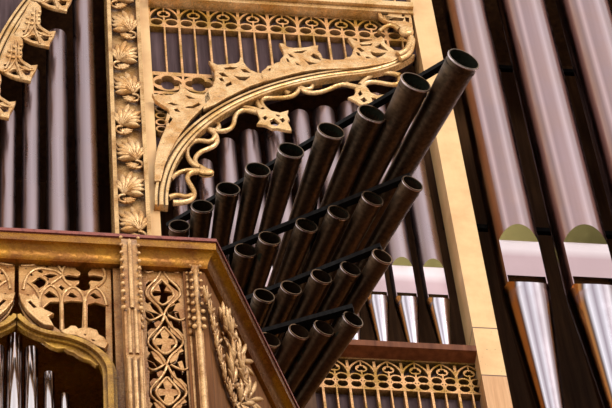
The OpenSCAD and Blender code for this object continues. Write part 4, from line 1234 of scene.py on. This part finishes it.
# studio: a pale floor, even light from all round, and three lamps with their place, target, size and watts
studio = {
    "floor": (0.8, 0.79, 0.77), "floorRough": 0.9, "floorSize": 40, "worldLight": 0.22,
    "lamps": [
        ("keyLamp", (3.6, -8.5, 8.2), (-0.6, 0.0, 4.2), 4.5, 620),
        ("fillLamp", (-6.5, -7.5, 4.0), (-1.2, 0.0, 3.6), 4.5, 230),
        ("lowLamp", (-0.8, -7.5, 1.0), (-1.2, 0.0, 4.4), 3.5, 170),
    ],
}


def addFloor(values):
    deselect()
    bpy.ops.mesh.primitive_plane_add(size=values["floorSize"], location=(0, 0, 0))
    floor = bpy.context.active_object
    floor.name = "studioFloor"
    mat = bpy.data.materials.new("studioFloor")
    mat.use_nodes = True
    tree = mat.node_tree
    skin = next(n for n in tree.nodes if n.type == "BSDF_PRINCIPLED")
    skin.inputs["Base Color"].default_value = (*values["floor"], 1)
    skin.inputs["Roughness"].default_value = values["floorRough"]
    out = next(n for n in tree.nodes if n.type == "OUTPUT_MATERIAL")
    # seen from below, the floor lets the camera through
    seen = tree.nodes.new("ShaderNodeLightPath").outputs["Is Camera Ray"]
    below = tree.nodes.new("ShaderNodeNewGeometry").outputs["Backfacing"]
    clear = tree.nodes.new("ShaderNodeBsdfTransparent").outputs[0]
    shaders = {0: calculate(tree, "MULTIPLY", seen, below), 1: skin.outputs[0], 2: clear}
    blend = addNode(tree, "ShaderNodeMixShader", shaders)
    tree.links.new(blend.outputs[0], out.inputs["Surface"])
    floor.data.materials.append(mat)


def addSky(values):
    # white to the camera and in reflections, dimmer as a light
    world = bpy.data.worlds.new("studioWorld")
    bpy.context.scene.world = world
    world.use_nodes = True
    tree = world.node_tree
    sky = next(n for n in tree.nodes if n.type == "BACKGROUND")
    sky.inputs["Color"].default_value = (1, 1, 1, 1)
    rays = tree.nodes.new("ShaderNodeLightPath").outputs
    seen = rays["Is Camera Ray"]
    for ray in ("Is Glossy Ray", "Is Transmission Ray"):
        seen = calculate(tree, "MAXIMUM", seen, rays[ray])
    feed(tree, sky.inputs["Strength"], remap(tree, seen, 0.0, 1.0, values["worldLight"], 1.0))


def addLamps(values):
    for name, place, target, size, watts in values["lamps"]:
        bpy.ops.object.light_add(type="AREA", location=place)
        lamp = bpy.context.active_object
        lamp.name = name
        lamp.data.size, lamp.data.energy = size, watts
        lamp.rotation_euler = (Vector(target) - Vector(place)).to_track_quat("-Z", "Y").to_euler()


addFloor(studio)
addSky(studio)
addLamps(studio)
bpy.context.scene.view_settings.view_transform = "Standard"
print("studio lit")
